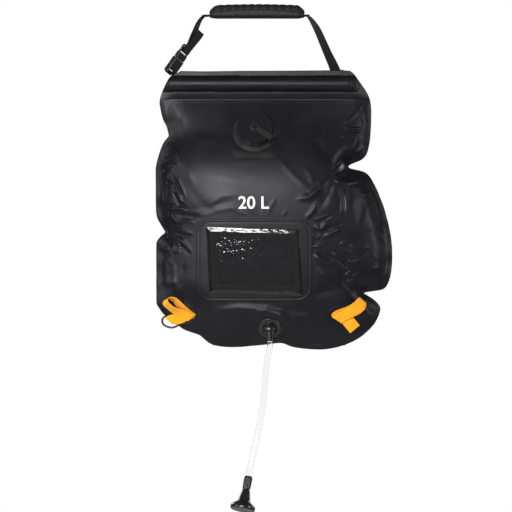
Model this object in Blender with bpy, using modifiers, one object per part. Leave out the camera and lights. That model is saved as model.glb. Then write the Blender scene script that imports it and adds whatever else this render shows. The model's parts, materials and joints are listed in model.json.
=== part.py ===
"""Camp shower bag: a welded water bag on a rod, a carrying handle, a filler cap and a hose with a head.

Metres, +Z up. The origin is the hang point, under the middle of the carrying grip.
The bag faces -Y, +X is to its right, and the hose hangs down.
"""

import math

import bmesh
import bpy
from mathutils import Matrix, Vector

# Clearances and sheet thicknesses
GAP = 0.0003
OVERRUN = 0.004
MERGE = 0.00001
SHEET = 0.0006
PATCH = 0.0008
FILM = 0.0004

# Bag
BAG_LEFT = -0.176
BAG_WIDTH = 0.412
BAG_HEIGHT = 0.490
ROD_DROP = 0.116
HEM_FLANGE = 0.0105
WELD_BAND = 0.0162
BOTTOM_FLANGE = 0.0085
SIDE_FLANGE = 0.0085
FRONT_SWELL = 0.046
BACK_SWELL = 0.040
ZONE_BLEND = 0.030

# Top tube in the hem
TUBE_OD = 0.022
TUBE_WALL = 0.002
TUBE_END_SHARES = (0.068, 0.8083)
SLEEVE_SLACK = 0.0006

# Handle webbing
WEB_WIDTH = 0.020
WEB = 0.0012
LOOP_SHARES = (0.0947, 0.7733)
LOOP_SLOT_WIDTH = 0.027

# Carrying grip
GRIP_LENGTH = 0.167
GRIP_WIDTH = 0.030
GRIP_HEIGHT = 0.0246
GRIP_SPLIT_END = 0.0097
GRIP_SPLIT_RISE = 0.0053
GRIP_FLAT = 0.018
GRIP_FLOOR = 0.0032
GRIP_RIB_RISE = 0.0016
GRIP_RIBS = 11

# Side release buckle, along its own axis from the foot of the socket
BUCKLE_FOOT_SHARES = (-1.3431, 0.1466, -0.819)
BUCKLE_LEAN = 35.0
BUCKLE_TURN = 58.0
BUCKLE_WIDTH = 0.026
SOCKET_LENGTH = 0.030
SOCKET_DEPTH = 0.0095
CAVITY_WIDTH = 0.0206
CAVITY_DEPTH = 0.0055
CAVITY_START = 0.009
SIDE_WINDOW_START = 0.0095
SIDE_WINDOW_LENGTH = 0.010
WEB_BAR = 0.003
WEB_BAR_DEPTH = 0.005
WEB_SLOT = 0.0042
PLUG_BODY_LENGTH = 0.0118
PLUG_BODY_DEPTH = 0.0070
LADDER_DEPTH = 0.0028
LADDER_SLOT = 0.0042
LADDER_SLOT_HIGH = 0.0052
LADDER_BAR = 0.0028
LADDER_BAR_END = 0.0032
GUIDE_WIDTH = 0.005
GUIDE_LENGTH = 0.0185
ARM_OFFSET = 0.0080
ARM_THICKNESS = 0.0022
ARM_LENGTH = 0.0205
BARB_REACH = 0.0127

# Filler neck and cap
NECK_X = -0.004
NECK_DROP = 0.2035
NECK_DEPTH = 0.0255
NECK_TILT = 25.0
NECK_FLANGE_OD = 0.077
NECK_FLANGE = 0.0016
NECK_OD = 0.052
NECK_BORE = 0.046
NECK_RISE = 0.0125
NECK_ZONE = 0.0400
CAP_OD = 0.0626
CAP_FLUTES = 14
CAP_FLUTE_DEPTH = 0.0011
CAP_SKIRT = 0.0150
CAP_TOP = 0.0028
CAP_SIDE_GAP = 0.0008
SEAL = 0.0012
SEAL_BAND = 0.0026
STUD_OD = 0.0118
STUD_STEM_OD = 0.0076
STUD_HEAD = 0.0014
LEASH = 0.0016
LEASH_WIDTH = 0.011
LEASH_RING_OD = 0.0176
LEASH_ANGLE = -36.0
LEASH_FOOT = 0.0058

# Pocket, film, binding and net
POCKET_X = -0.005
POCKET_DROP = 0.427
POCKET_DEPTH = 0.040
POCKET_WIDTH = 0.202
POCKET_HEIGHT = 0.141
POCKET_CORNER = 0.022
POCKET_MARGIN = 0.00145
FILM_WIDTH = 0.163
FILM_HEIGHT = 0.117
BINDING_WIDTH = 0.153
BINDING_HEIGHT = 0.103
BINDING_BAND = 0.0085
BINDING_STAND = 0.0068
BINDING_ROOF = 0.0012
DIVIDER_SHARE = 0.41
NET = 0.0008
NET_STRAND = 0.0011
NET_PITCH = 0.0112

# Corner patches and orange loops
CORNER_PATCH_RADIUS = 0.0215
CORNER_FLAT = 0.032
CORNER_BLEND = 0.026
CORNER_RISE = 14.0
CORNERS = {
    "left": {"inward": 52.0, "depth": 0.0092},
    "right": {"inward": 130.0, "depth": 0.0140},
}
# Middle of each patch: how far across the bag's width and down its height
CORNER_CENTRE_SHARES = {"left": (0.1112, 0.8686), "right": (0.8117, 0.8902)}
# Ends of each loop in the plane of its patch, as shares of the webbing's width
CORNER_LOOP_SHARES = {
    "left": {"fold": (0.8, -0.475), "upper": (-1.3, 0.95), "lower": (-1.075, -0.625)},
    "right": {"fold": (-0.875, -0.125), "upper": (1.325, 1.425), "lower": (0.7, -0.95)},
}
LOOP_WEB = 0.0014
LOOP_OPENING = 0.0066
LOOP_ARM_SHARES = (1.0, 0.6, 0.25)

# Outlet, hose and shower head
OUTLET_X = 0.0224
OUTLET_DROP = 0.5452
OUTLET_DEPTH = 0.0175
OUTLET_TILT = 26.0
OUTLET_FLANGE_OD = 0.040
OUTLET_FLANGE = 0.0014
OUTLET_HUB_OD = 0.0270
OUTLET_HUB = 0.0030
OUTLET_ZONE = 0.0235
DOME_RADIUS = 0.0127
DOME_BORE = 0.0070
SPIGOT_OD = 0.0146
SPIGOT_DROP = 0.0165
OUTLET_SEAL = 0.0010
HOSE_OD = 0.0105
HEAD_LEAN = 20.0
HEAD_SWAY = 11.0
COLLAR_LENGTH = 0.0228
COLLAR_OD_TOP = 0.0148
COLLAR_OD_LOW = 0.0136
COLLAR_FLUTES = 9
COLLAR_FLUTE_DEPTH = 0.0005
STEM_OD = 0.0072
STEM_LENGTH = 0.0190
STEM_BORE = 0.0040
BELL_THROAT_OD = 0.0134
BELL_CONE_OD = 0.0234
BELL_CONE = 0.0230
BELL_RIM = 0.0130
BELL_WALL = 0.0016
ROSE_OD = 0.043
ROSE_PLATE = 0.0022
ROSE_HOLE = 0.0021
ROSE_RINGS = 3
RING_OD = 0.0096
RING_ROUND = 0.0022

# Outline of the bag: how far down it, and how far across its width
LEFT_EDGE_SHARES = (
    (0.0, 0.1026), (0.0486, 0.044), (0.106, 0.0184), (0.1673, 0.030), (0.2176, 0.0534),
    (0.2392, 0.0556), (0.2806, 0.0197), (0.337, 0.0043), (0.3939, 0.0004), (0.5068, 0.0013),
    (0.5565, 0.0197), (0.5917, 0.0385), (0.6205, 0.003), (0.6978, 0.0013), (0.8076, 0.0051),
    (0.8572, 0.0162), (0.8888, 0.0449), (0.9137, 0.0786), (0.9385, 0.1628), (0.9561, 0.1923),
    (0.9809, 0.2466), (1.0, 0.3034),
)
RIGHT_EDGE_SHARES = (
    (0.0, 0.8205), (0.027, 0.8526), (0.0737, 0.8846), (0.1349, 0.906), (0.196, 0.9077),
    (0.2558, 0.9017), (0.3054, 0.8812), (0.337, 0.8184), (0.3478, 0.8141), (0.3723, 0.8855),
    (0.3939, 0.9064), (0.4432, 0.9359), (0.5068, 0.9654), (0.5565, 0.9838), (0.6205, 1.0),
    (0.6978, 0.9991), (0.768, 0.9765), (0.7932, 0.8645), (0.8291, 0.9274), (0.8572, 0.9487),
    (0.8888, 0.9359), (0.9137, 0.9124), (0.9561, 0.8603), (0.9809, 0.8098), (1.0, 0.756),
)
# How far the water chamber swells, from the weld under the hem down to the bottom weld
SWELL_SHARES = (
    (0.0, 0.0), (0.016, 0.15), (0.04, 0.28), (0.137, 0.57), (0.233, 0.90), (0.33, 1.0),
    (0.50, 1.0), (0.82, 0.93), (0.875, 0.66), (0.93, 0.36), (0.98, 0.14), (1.0, 0.0),
)
# Places of the rows of faces down the chamber
ROW_SHARES = (
    0.016, 0.04, 0.09, 0.137, 0.185, 0.245, 0.262, 0.276, 0.292, 0.32, 0.365, 0.425,
    0.54, 0.597, 0.655, 0.714, 0.757, 0.778, 0.80, 0.85, 0.905, 0.93, 0.955,
)

# Routes of the webbing as shares of the rod's drop, with the turn of the webbing about its run in degrees
RIGHT_STRAP_SHARES = (
    ((0.7284, 0.0, 0.0353), 90.0),
    ((0.7802, 0.0052, 0.0207), 84.0),
    ((0.8491, 0.0172, -0.0647), 70.0),
    ((0.9155, 0.0345, -0.1724), 60.0),
    ((0.9741, 0.0517, -0.2974), 56.0),
    ((1.0776, 0.0776, -0.531), 50.0),
    ((1.1724, 0.1026, -0.7328), 38.0),
    ((1.2198, 0.1078, -0.8793), 10.0),
)
LEFT_STRAP_SHARES = (
    ((-0.8233, 0.0138, 0.0138), -84.0),
    ((-0.8922, 0.0388, -0.0776), -74.0),
    ((-0.9552, 0.0905, -0.2241), -66.0),
    ((-1.0043, 0.1293, -0.3448), -62.0),
)
# Route of the hose
HOSE_ROUTE = (
    (0.0224, -0.0279, -0.5668), (0.0222, -0.0279, -0.5750), (0.0207, -0.0277, -0.5850),
    (0.0182, -0.0272, -0.5975), (0.0160, -0.0264, -0.6180), (0.0139, -0.0258, -0.6389),
    (0.0119, -0.0254, -0.6610), (0.0095, -0.0253, -0.6829), (0.0061, -0.0256, -0.7040),
    (0.0021, -0.0264, -0.7251), (-0.0026, -0.0280, -0.7450), (-0.0071, -0.0308, -0.7640),
    (-0.0112, -0.0352, -0.7822), (-0.0146, -0.0404, -0.8013),
)

ROD_Z = -ROD_DROP
TUBE_LEFT, TUBE_RIGHT = (BAG_LEFT + BAG_WIDTH * share for share in TUBE_END_SHARES)
LEFT_LOOP_X, RIGHT_LOOP_X = (BAG_LEFT + BAG_WIDTH * share for share in LOOP_SHARES)
TUBE_RADIUS = TUBE_OD / 2
LOOP_RADIUS = TUBE_RADIUS + GAP + WEB / 2
SLEEVE_RADIUS = TUBE_RADIUS + GAP + WEB + GAP + SLEEVE_SLACK + SHEET / 2
SEAM = (GAP + SHEET) / 2
BAG_TOP = ROD_Z + SLEEVE_RADIUS + HEM_FLANGE
BAG_BOTTOM = BAG_TOP - BAG_HEIGHT
CHAMBER_TOP = ROD_Z - SLEEVE_RADIUS - WELD_BAND
CHAMBER_BOTTOM = BAG_BOTTOM + BOTTOM_FLANGE
CHAMBER_HEIGHT = CHAMBER_TOP - CHAMBER_BOTTOM
CENTRE_LEFT = NECK_X - NECK_ZONE
CENTRE_RIGHT = max(NECK_X + NECK_ZONE, OUTLET_X + OUTLET_ZONE)

X_AXIS = Vector((1, 0, 0))
Y_AXIS = Vector((0, 1, 0))
Z_AXIS = Vector((0, 0, 1))


def clear_scene():
    for thing in list(bpy.data.objects):
        bpy.data.objects.remove(thing)


def new_collection(name):
    made = bpy.data.collections.new(name)
    bpy.context.scene.collection.children.link(made)
    return made


def finish(name, colour, roughness, metallic=0.0, alpha=1.0):
    made = bpy.data.materials.new(name)
    made.use_nodes = True
    shader = made.node_tree.nodes["Principled BSDF"]
    shader.inputs["Base Color"].default_value = (*colour, 1.0)
    shader.inputs["Roughness"].default_value = roughness
    shader.inputs["Metallic"].default_value = metallic
    shader.inputs["Alpha"].default_value = alpha
    return made


def placement(origin, across, up, out):
    """A matrix whose local X, Y and Z lie along the three world directions."""
    made = Matrix.Identity(4)
    for column, axis in enumerate((across, up, out)):
        made.col[column] = (*Vector(axis).normalized(), 0.0)
    made.col[3] = (*origin, 1.0)
    return made


def add(name, mesh, material, at=None, smooth=40.0):
    made = bpy.data.objects.new(name, mesh)
    PARTS.objects.link(made)
    if at is not None:
        made.matrix_world = at
    mesh.materials.clear()
    mesh.materials.append(material)
    mesh.shade_smooth()
    mesh.set_sharp_from_angle(angle=math.radians(smooth))
    return made


def as_cutter(thing):
    PARTS.objects.unlink(thing)
    CUTTERS.objects.link(thing)
    thing.hide_render = True
    thing.display_type = "WIRE"
    return thing


def combine(thing, tool, operation):
    step = thing.modifiers.new(operation.lower(), "BOOLEAN")
    step.operation = operation
    step.solver = "EXACT"
    step.object = as_cutter(tool)


def cut(thing, tool):
    combine(thing, tool, "DIFFERENCE")


def join(thing, tool):
    combine(thing, tool, "UNION")


def box(name, size, centre, material, at=None, rounding=0.0):
    """A block with rounded edges, its centre in the frame that at gives."""
    mesh = bpy.data.meshes.new(name)
    shape = bmesh.new()
    bmesh.ops.create_cube(shape, size=1.0)
    bmesh.ops.scale(shape, vec=size, verts=shape.verts)
    bmesh.ops.translate(shape, vec=centre, verts=shape.verts)
    if rounding:
        bmesh.ops.bevel(shape, geom=shape.edges, offset=rounding, segments=2, profile=0.5, affect="EDGES")
    shape.to_mesh(mesh)
    shape.free()
    return add(name, mesh, material, at)


def rod(name, radius, low, high, material, at=None, sides=24):
    mesh = bpy.data.meshes.new(name)
    shape = bmesh.new()
    bmesh.ops.create_cone(
        shape, cap_ends=True, segments=sides, radius1=radius, radius2=radius, depth=high - low
    )
    bmesh.ops.translate(shape, vec=(0, 0, (low + high) / 2), verts=shape.verts)
    shape.to_mesh(mesh)
    shape.free()
    return add(name, mesh, material, at)


def turned(name, profile, material, at=None, steps=32, closed=False):
    """A profile of (radius, height) turned about local Z, its outer side running down."""
    mesh = bpy.data.meshes.new(name)
    points = [(radius, 0, height) for radius, height in profile]
    edges = [(i, i + 1) for i in range(len(points) - 1)]
    if closed:
        edges.append((len(points) - 1, 0))
    mesh.from_pydata(points, edges, [])
    made = bpy.data.objects.new(name, mesh)
    PARTS.objects.link(made)
    if at is not None:
        made.matrix_world = at
    mesh.materials.append(material)
    turn = made.modifiers.new("turn", "SCREW")
    turn.steps = steps
    turn.render_steps = steps
    turn.use_merge_vertices = True
    turn.merge_threshold = MERGE
    turn.use_smooth_shade = True
    return made


def plate(name, outlines, thickness, material, at=None):
    """A flat piece from closed outlines in local XY, holes included, centred on local Z = 0."""
    curve = bpy.data.curves.new(name, "CURVE")
    curve.dimensions = "2D"
    curve.fill_mode = "BOTH"
    curve.extrude = thickness / 2
    for outline in outlines:
        line = curve.splines.new("POLY")
        line.points.add(len(outline) - 1)
        for point, (x, y) in zip(line.points, outline):
            point.co = (x, y, 0, 1)
        line.use_cyclic_u = True
    return solid_from_curve(name, curve, material, at)


def solid_from_curve(name, curve, material, at=None):
    """The curve's solid as a mesh, its caps welded to its sides."""
    guide = bpy.data.objects.new(name + "_curve", curve)
    PARTS.objects.link(guide)
    bpy.context.view_layer.update()
    shown = guide.evaluated_get(bpy.context.evaluated_depsgraph_get())
    mesh = bpy.data.meshes.new_from_object(shown)
    bpy.data.objects.remove(guide)
    shape = bmesh.new()
    shape.from_mesh(mesh)
    bmesh.ops.remove_doubles(shape, verts=shape.verts, dist=MERGE)
    shape.to_mesh(mesh)
    shape.free()
    mesh.name = name
    return add(name, mesh, material, at)


def loft(name, rings, material, at=None, smooth=40.0, split=False):
    """Rings of as many points each, skinned one to the next and capped; split cuts warped faces in two."""
    shape = bmesh.new()
    loops = [[shape.verts.new(point) for point in ring] for ring in rings]
    for one, two in zip(loops, loops[1:]):
        for i in range(len(one)):
            j = (i + 1) % len(one)
            shape.faces.new((one[i], one[j], two[j], two[i]))
    shape.faces.new(list(reversed(loops[0])))
    shape.faces.new(loops[-1])
    if split:
        bmesh.ops.triangulate(shape, faces=shape.faces)
    bmesh.ops.recalc_face_normals(shape, faces=shape.faces)
    mesh = bpy.data.meshes.new(name)
    shape.to_mesh(mesh)
    shape.free()
    return add(name, mesh, material, at, smooth)


def ribbon(name, route, width, thickness, material):
    """Webbing along route, a list of (centre, direction of its width)."""
    rings = []
    for i, (centre, side) in enumerate(route):
        before = route[max(i - 1, 0)][0]
        after = route[min(i + 1, len(route) - 1)][0]
        run = (after - before).normalized()
        side = (side - run * side.dot(run)).normalized()
        face = run.cross(side)
        half, rise = side * (width / 2), face * (thickness / 2)
        rings.append([centre - half - rise, centre + half - rise, centre + half + rise, centre - half + rise])
    return loft(name, rings, material, smooth=30.0, split=True)


def smooth_step(value):
    value = min(max(value, 0.0), 1.0)
    return value * value * (3 - 2 * value)


def along(table, where):
    """The value of a table of (place, value) pairs at a place, on straight lines between them."""
    for (x0, y0), (x1, y1) in zip(table, table[1:]):
        if where <= x1:
            return y0 + (y1 - y0) * (where - x0) / (x1 - x0)
    return table[-1][1]


def arc(centre, radius, start, end, steps):
    """Points on an arc in a plane, from one angle to another in degrees."""
    turn = (end - start) / steps
    angles = [math.radians(start + turn * i) for i in range(steps + 1)]
    return [(centre[0] + radius * math.cos(a), centre[1] + radius * math.sin(a)) for a in angles]


def rounded_rectangle(width, height, corner, steps=5, centre=(0.0, 0.0)):
    points = []
    for turn, (sx, sy) in enumerate(((1, 1), (-1, 1), (-1, -1), (1, -1))):
        middle = (centre[0] + sx * (width / 2 - corner), centre[1] + sy * (height / 2 - corner))
        points += arc(middle, corner, 90.0 * turn, 90.0 * (turn + 1), steps)
    return points


def fluted_circle(radius, depth, flutes, steps=4):
    """A circle drawn in and out, as a grip's edge is."""
    points = []
    for i in range(flutes * steps):
        angle = 2 * math.pi * i / (flutes * steps)
        reach = radius - depth * (1 - math.cos(flutes * angle)) / 2
        points.append((reach * math.cos(angle), reach * math.sin(angle)))
    return points


def smooth_route(points, spacing):
    """Points at an even spacing on a smooth curve through a route's own points."""
    points = [Vector(point) for point in points]
    ends = [points[0] * 2 - points[1], *points, points[-1] * 2 - points[-2]]
    fine = []
    for a, b, c, d in zip(ends, ends[1:], ends[2:], ends[3:]):
        steps = max(1, round((c - b).length / spacing))
        for i in range(steps):
            t = i / steps
            fine.append(
                0.5 * (2 * b + (c - a) * t + (2 * a - 5 * b + 4 * c - d) * t**2 + (3 * b - a - 3 * c + d) * t**3)
            )
    fine.append(points[-1])
    return fine


# The two sheets of the bag


def edges_at(z):
    """The bag's left and right outline at a height."""
    down = (BAG_TOP - z) / BAG_HEIGHT
    left = BAG_LEFT + BAG_WIDTH * along(LEFT_EDGE_SHARES, down)
    right = BAG_LEFT + BAG_WIDTH * along(RIGHT_EDGE_SHARES, down)
    return left, right


def zone_weight(x, z, centre_x, centre_z, half_x, half_z):
    """One in a flat zone of the sheet, falling to zero round it."""
    outside = math.hypot(max(abs(x - centre_x) - half_x, 0.0), max(abs(z - centre_z) - half_z, 0.0))
    return smooth_step(1 - outside / ZONE_BLEND)


def pillow(x, z, swell):
    left, right = edges_at(z)
    left, right = left + SIDE_FLANGE, right - SIDE_FLANGE
    if not (left < x < right and CHAMBER_BOTTOM < z < CHAMBER_TOP):
        return 0.0
    across = 2 * (x - left) / (right - left) - 1
    down = (CHAMBER_TOP - z) / CHAMBER_HEIGHT
    return swell * math.sqrt(1 - across**4) * along(SWELL_SHARES, down)


def sleeve(z):
    return math.sqrt(max(SLEEVE_RADIUS**2 - (z - ROD_Z) ** 2, 0.0))


def corner_centre(label):
    across, down = CORNER_CENTRE_SHARES[label]
    return BAG_LEFT + BAG_WIDTH * across, BAG_TOP - BAG_HEIGHT * down


def front_depth(x, z):
    """How far the front sheet stands forward of the seam."""
    depth = pillow(x, z, FRONT_SWELL)
    if not depth:
        return max(sleeve(z), SEAM)
    centre = (CENTRE_LEFT + CENTRE_RIGHT) / 2
    half = (CENTRE_RIGHT - CENTRE_LEFT) / 2
    for zone_x, half_x, zone_z, half_z, level, tilt in (
        (centre, half, -NECK_DROP, NECK_ZONE, NECK_DEPTH, NECK_TILT),
        (POCKET_X, POCKET_WIDTH / 2, -POCKET_DROP, POCKET_HEIGHT / 2, POCKET_DEPTH, 0.0),
        (centre, half, -OUTLET_DROP, OUTLET_ZONE, OUTLET_DEPTH, -OUTLET_TILT),
    ):
        weight = zone_weight(x, z, zone_x, zone_z, half_x + POCKET_MARGIN, half_z + POCKET_MARGIN)
        plane = level - math.tan(math.radians(tilt)) * (z - zone_z)
        depth += (plane - depth) * weight
    for label, corner in CORNERS.items():
        (corner_x, corner_z), inward = corner_centre(label), math.radians(corner["inward"])
        off_x, off_z = x - corner_x, z - corner_z
        weight = smooth_step(1 - (math.hypot(off_x, off_z) - CORNER_FLAT) / CORNER_BLEND)
        rise = math.tan(math.radians(CORNER_RISE)) * (off_x * math.cos(inward) + off_z * math.sin(inward))
        depth += (corner["depth"] + rise - depth) * weight
    return max(depth, SEAM)


def back_depth(x, z):
    return max(pillow(x, z, BACK_SWELL), sleeve(z), SEAM)


def sheet_rows():
    """Heights of the rows of faces, from the top edge to the bottom edge."""
    zones = []
    for drop, half in (
        (NECK_DROP, NECK_ZONE),
        (POCKET_DROP, POCKET_HEIGHT / 2),
        (OUTLET_DROP, OUTLET_ZONE),
    ):
        zones += [-drop + half + POCKET_MARGIN, -drop - half - POCKET_MARGIN]
    zones = [z for z in zones if CHAMBER_BOTTOM < z < CHAMBER_TOP]
    free = [CHAMBER_TOP - share * CHAMBER_HEIGHT for share in ROW_SHARES]
    free = [z for z in free if min(abs(z - zone) for zone in zones) > SIDE_FLANGE / 2]
    hem = [ROD_Z + SLEEVE_RADIUS * math.sin(math.radians(90 - 22.5 * i)) for i in range(9)]
    return [BAG_TOP, *hem, CHAMBER_TOP, *sorted(zones + free, reverse=True), CHAMBER_BOTTOM, BAG_BOTTOM]


def spread(low, high, cells):
    return [low + (high - low) * i / cells for i in range(cells)]


def front_columns(z):
    """Places of the columns of faces at a height, which keep the flat zones' sides straight."""
    left, right = edges_at(z)
    inner_left, inner_right = left + SIDE_FLANGE, right - SIDE_FLANGE
    near_left = inner_left + (CENTRE_LEFT - inner_left) * 0.35
    near_right = inner_right - (inner_right - CENTRE_RIGHT) * 0.35
    pocket_left = max(POCKET_X - POCKET_WIDTH / 2 - POCKET_MARGIN, near_left)
    pocket_right = min(POCKET_X + POCKET_WIDTH / 2 + POCKET_MARGIN, near_right)
    return [
        left,
        *spread(inner_left, pocket_left, 4),
        *spread(pocket_left, CENTRE_LEFT, 2),
        *spread(CENTRE_LEFT, CENTRE_RIGHT, 3),
        *spread(CENTRE_RIGHT, pocket_right, 2),
        *spread(pocket_right, inner_right, 5),
        inner_right,
        right,
    ]


def back_columns(z):
    left, right = edges_at(z)
    inner_left, inner_right = left + SIDE_FLANGE, right - SIDE_FLANGE
    return [left, *spread(inner_left, inner_right, 8), inner_right, right]


def sheet_surface(columns, depth, side):
    """An open sheet as a grid of rows, on the side of the seam that side names, -1 front or 1 back."""
    shape = bmesh.new()
    grid = []
    for z in sheet_rows():
        places = columns(z)
        row = []
        for i, x in enumerate(places):
            inside = 0 < i < len(places) - 1 or abs(z - ROD_Z) < SLEEVE_RADIUS
            row.append(shape.verts.new((x, side * (depth(x, z) if inside else SEAM), z)))
        grid.append(row)
    for above, below in zip(grid, grid[1:]):
        for i in range(len(above) - 1):
            corners = (above[i], below[i], below[i + 1], above[i + 1])
            shape.faces.new(corners if side < 0 else tuple(reversed(corners)))
    bmesh.ops.triangulate(shape, faces=shape.faces)
    return shape


def make_sheet(name, columns, depth, side, material):
    shape = sheet_surface(columns, depth, side)
    mesh = bpy.data.meshes.new(name)
    shape.to_mesh(mesh)
    shape.free()
    made = add(name, mesh, material, smooth=60.0)
    wall = made.modifiers.new("wall", "SOLIDIFY")
    wall.thickness = SHEET
    wall.offset = 0.0
    return made


def layer_on_front(name, lift, thickness, tool, material):
    """A layer over the front sheet, lift above its outer face, trimmed by a tool."""
    shape = sheet_surface(front_columns, front_depth, -1)
    bmesh.ops.recalc_face_normals(shape, faces=shape.faces)
    shape.normal_update()
    rise = SHEET / 2 + lift + thickness / 2
    outward = {vert: Vector(vert.normal) for vert in shape.verts}
    for vert, normal in outward.items():
        vert.co += rise * (normal if normal.y < 0 else -normal)
    mesh = bpy.data.meshes.new(name)
    shape.to_mesh(mesh)
    shape.free()
    made = add(name, mesh, material, smooth=60.0)
    wall = made.modifiers.new("wall", "SOLIDIFY")
    wall.thickness = thickness
    wall.offset = 0.0
    combine(made, tool, "INTERSECT")
    return made


def neck_frame():
    tilt = math.radians(NECK_TILT)
    out = Vector((0, -math.cos(tilt), math.sin(tilt)))
    seat = Vector((NECK_X, -NECK_DEPTH, -NECK_DROP)) + out * (SHEET / 2 + GAP)
    return placement(seat, X_AXIS, out.cross(X_AXIS), out)


def outlet_frame():
    tilt = math.radians(OUTLET_TILT)
    out = Vector((0, -math.cos(tilt), -math.sin(tilt)))
    seat = Vector((OUTLET_X, -OUTLET_DEPTH, -OUTLET_DROP)) + out * (SHEET / 2 + GAP)
    return placement(seat, X_AXIS, out.cross(X_AXIS), out)


def pocket_frame():
    seat = Vector((POCKET_X, -POCKET_DEPTH - SHEET / 2 - GAP, -POCKET_DROP))
    return placement(seat, X_AXIS, Z_AXIS, -Y_AXIS)


def facing(x, z):
    """A frame whose local Z points forward, for tools that cut along Y."""
    return placement((x, 0, z), X_AXIS, Z_AXIS, -Y_AXIS)


def make_bag():
    front = make_sheet("front_sheet", front_columns, front_depth, -1, PVC)
    reach = FRONT_SWELL + OVERRUN
    cut(front, rod("neck_hole", NECK_BORE / 2, -reach / 4, reach / 4, PVC, neck_frame()))
    cut(front, rod("outlet_hole", DOME_BORE / 2, -reach / 8, reach / 8, PVC, outlet_frame(), 12))
    back = make_sheet("back_sheet", back_columns, back_depth, 1, PVC)
    for label, x in (("left", LEFT_LOOP_X), ("right", RIGHT_LOOP_X)):
        deep = SLEEVE_RADIUS + OVERRUN
        size = (LOOP_SLOT_WIDTH, deep, 2 * (SLEEVE_RADIUS + SHEET))
        centre = (x, deep / 2 + SHEET + SEAM, ROD_Z)
        cut(back, box(f"{label}_strap_slot", size, centre, PVC))
    low, high = TUBE_LEFT, TUBE_RIGHT
    along_x = placement((0, 0, ROD_Z), Y_AXIS, Z_AXIS, X_AXIS)
    inner = TUBE_RADIUS - TUBE_WALL
    profile = ((TUBE_RADIUS, high), (TUBE_RADIUS, low), (inner, low), (inner, high))
    turned("top_tube", profile, BLACK_PLASTIC, along_x, 24, closed=True)


def make_pocket():
    level = PATCH / 2
    outline = rounded_rectangle(POCKET_WIDTH, POCKET_HEIGHT, POCKET_CORNER)
    frame = pocket_frame()
    plate("window_patch", [outline], PATCH, PVC, frame @ Matrix.Translation((0, 0, level)))
    level = PATCH + GAP + FILM / 2
    outline = rounded_rectangle(FILM_WIDTH, FILM_HEIGHT, BINDING_ROOF)
    plate("window_film", [outline], FILM, CLEAR, frame @ Matrix.Translation((0, 0, level)))
    floor = PATCH + GAP + FILM + GAP
    windows = pocket_windows()
    size = (BINDING_WIDTH, BINDING_HEIGHT, BINDING_STAND)
    binding = box("pocket_binding", size, (0, 0, floor + BINDING_STAND / 2), BINDING_CLOTH, frame, BINDING_ROOF / 3)
    for label, (low_x, high_x, low_y, high_y) in windows.items():
        centre = ((low_x + high_x) / 2, (low_y + high_y) / 2, floor + BINDING_STAND / 2)
        size = (high_x - low_x, high_y - low_y, BINDING_STAND + OVERRUN)
        cut(binding, box(f"{label}_window", size, centre, BINDING_CLOTH, frame))
    mouth = (BINDING_WIDTH - 2 * BINDING_BAND, 2 * BINDING_BAND + OVERRUN, BINDING_STAND - BINDING_ROOF)
    divider = binding_divider()
    for label, low_x, high_x in (
        ("left", -BINDING_WIDTH / 2 + BINDING_BAND, divider - BINDING_BAND / 4),
        ("right", divider + BINDING_BAND / 4, BINDING_WIDTH / 2 - BINDING_BAND),
    ):
        size = (high_x - low_x, mouth[1], mouth[2] + OVERRUN)
        centre = ((low_x + high_x) / 2, BINDING_HEIGHT / 2, floor + (mouth[2] - OVERRUN) / 2)
        cut(binding, box(f"{label}_mouth", size, centre, BINDING_CLOTH, frame))
    net_low = floor + BINDING_STAND - BINDING_ROOF / 4 - NET
    width, height = BINDING_WIDTH - 2 * BINDING_BAND, BINDING_HEIGHT - 2 * BINDING_BAND
    centre = (0, 0, net_low - GAP + OVERRUN / 2)
    cut(binding, box("net_recess", (width, height, OVERRUN), centre, BINDING_CLOTH, frame))
    make_net(frame, width, height, net_low)


def binding_divider():
    return BINDING_WIDTH * (DIVIDER_SHARE - 0.5)


def pocket_windows():
    """The two openings of the binding, as low and high sides across and up the pocket."""
    divider = binding_divider()
    half = BINDING_BAND / 4
    low, high = -BINDING_HEIGHT / 2 + BINDING_BAND, BINDING_HEIGHT / 2 - BINDING_BAND
    return {
        "left": (-BINDING_WIDTH / 2 + BINDING_BAND, divider - half, low, high),
        "right": (divider + half, BINDING_WIDTH / 2 - BINDING_BAND, low, high),
    }


def diamond_grid(low_x, high_x, low_y, high_y):
    """A flat sheet of diamonds, with triangles along its sides, one gap of the net to a face."""
    across = max(2, round((high_x - low_x) / NET_PITCH))
    up = max(2, round((high_y - low_y) / NET_PITCH))
    step_x, step_y = (high_x - low_x) / across, (high_y - low_y) / up
    shape = bmesh.new()
    knots = {}

    def knot(i, j):
        """Half steps: even places are the corners of cells, odd ones their middles."""
        if (i, j) not in knots:
            knots[i, j] = shape.verts.new((low_x + step_x * i / 2, low_y + step_y * j / 2, 0))
        return knots[i, j]

    for i in range(0, 2 * across + 1):
        for j in range(0, 2 * up + 1):
            if (i + j) % 2 == 0:
                continue
            around = [(i + 1, j), (i, j + 1), (i - 1, j), (i, j - 1)]
            around = [(a, b) for a, b in around if 0 <= a <= 2 * across and 0 <= b <= 2 * up]
            shape.faces.new([knot(a, b) for a, b in around])
    return shape


def make_net(frame, width, height, level):
    """A flat net of crossing strands, held round its sides by the binding."""
    half_x, half_y = width / 2 - GAP - NET_STRAND / 2, height / 2 - GAP - NET_STRAND / 2
    shape = diamond_grid(-half_x, half_x, -half_y, half_y)
    mesh = bpy.data.meshes.new("mesh_pocket")
    shape.to_mesh(mesh)
    shape.free()
    made = add("mesh_pocket", mesh, NET_CLOTH, frame @ Matrix.Translation((0, 0, level + NET / 2)))
    strands = made.modifiers.new("strands", "WIREFRAME")
    strands.thickness = NET_STRAND
    strands.use_even_offset = False
    strands.use_boundary = True
    strands.use_replace = True


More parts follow.
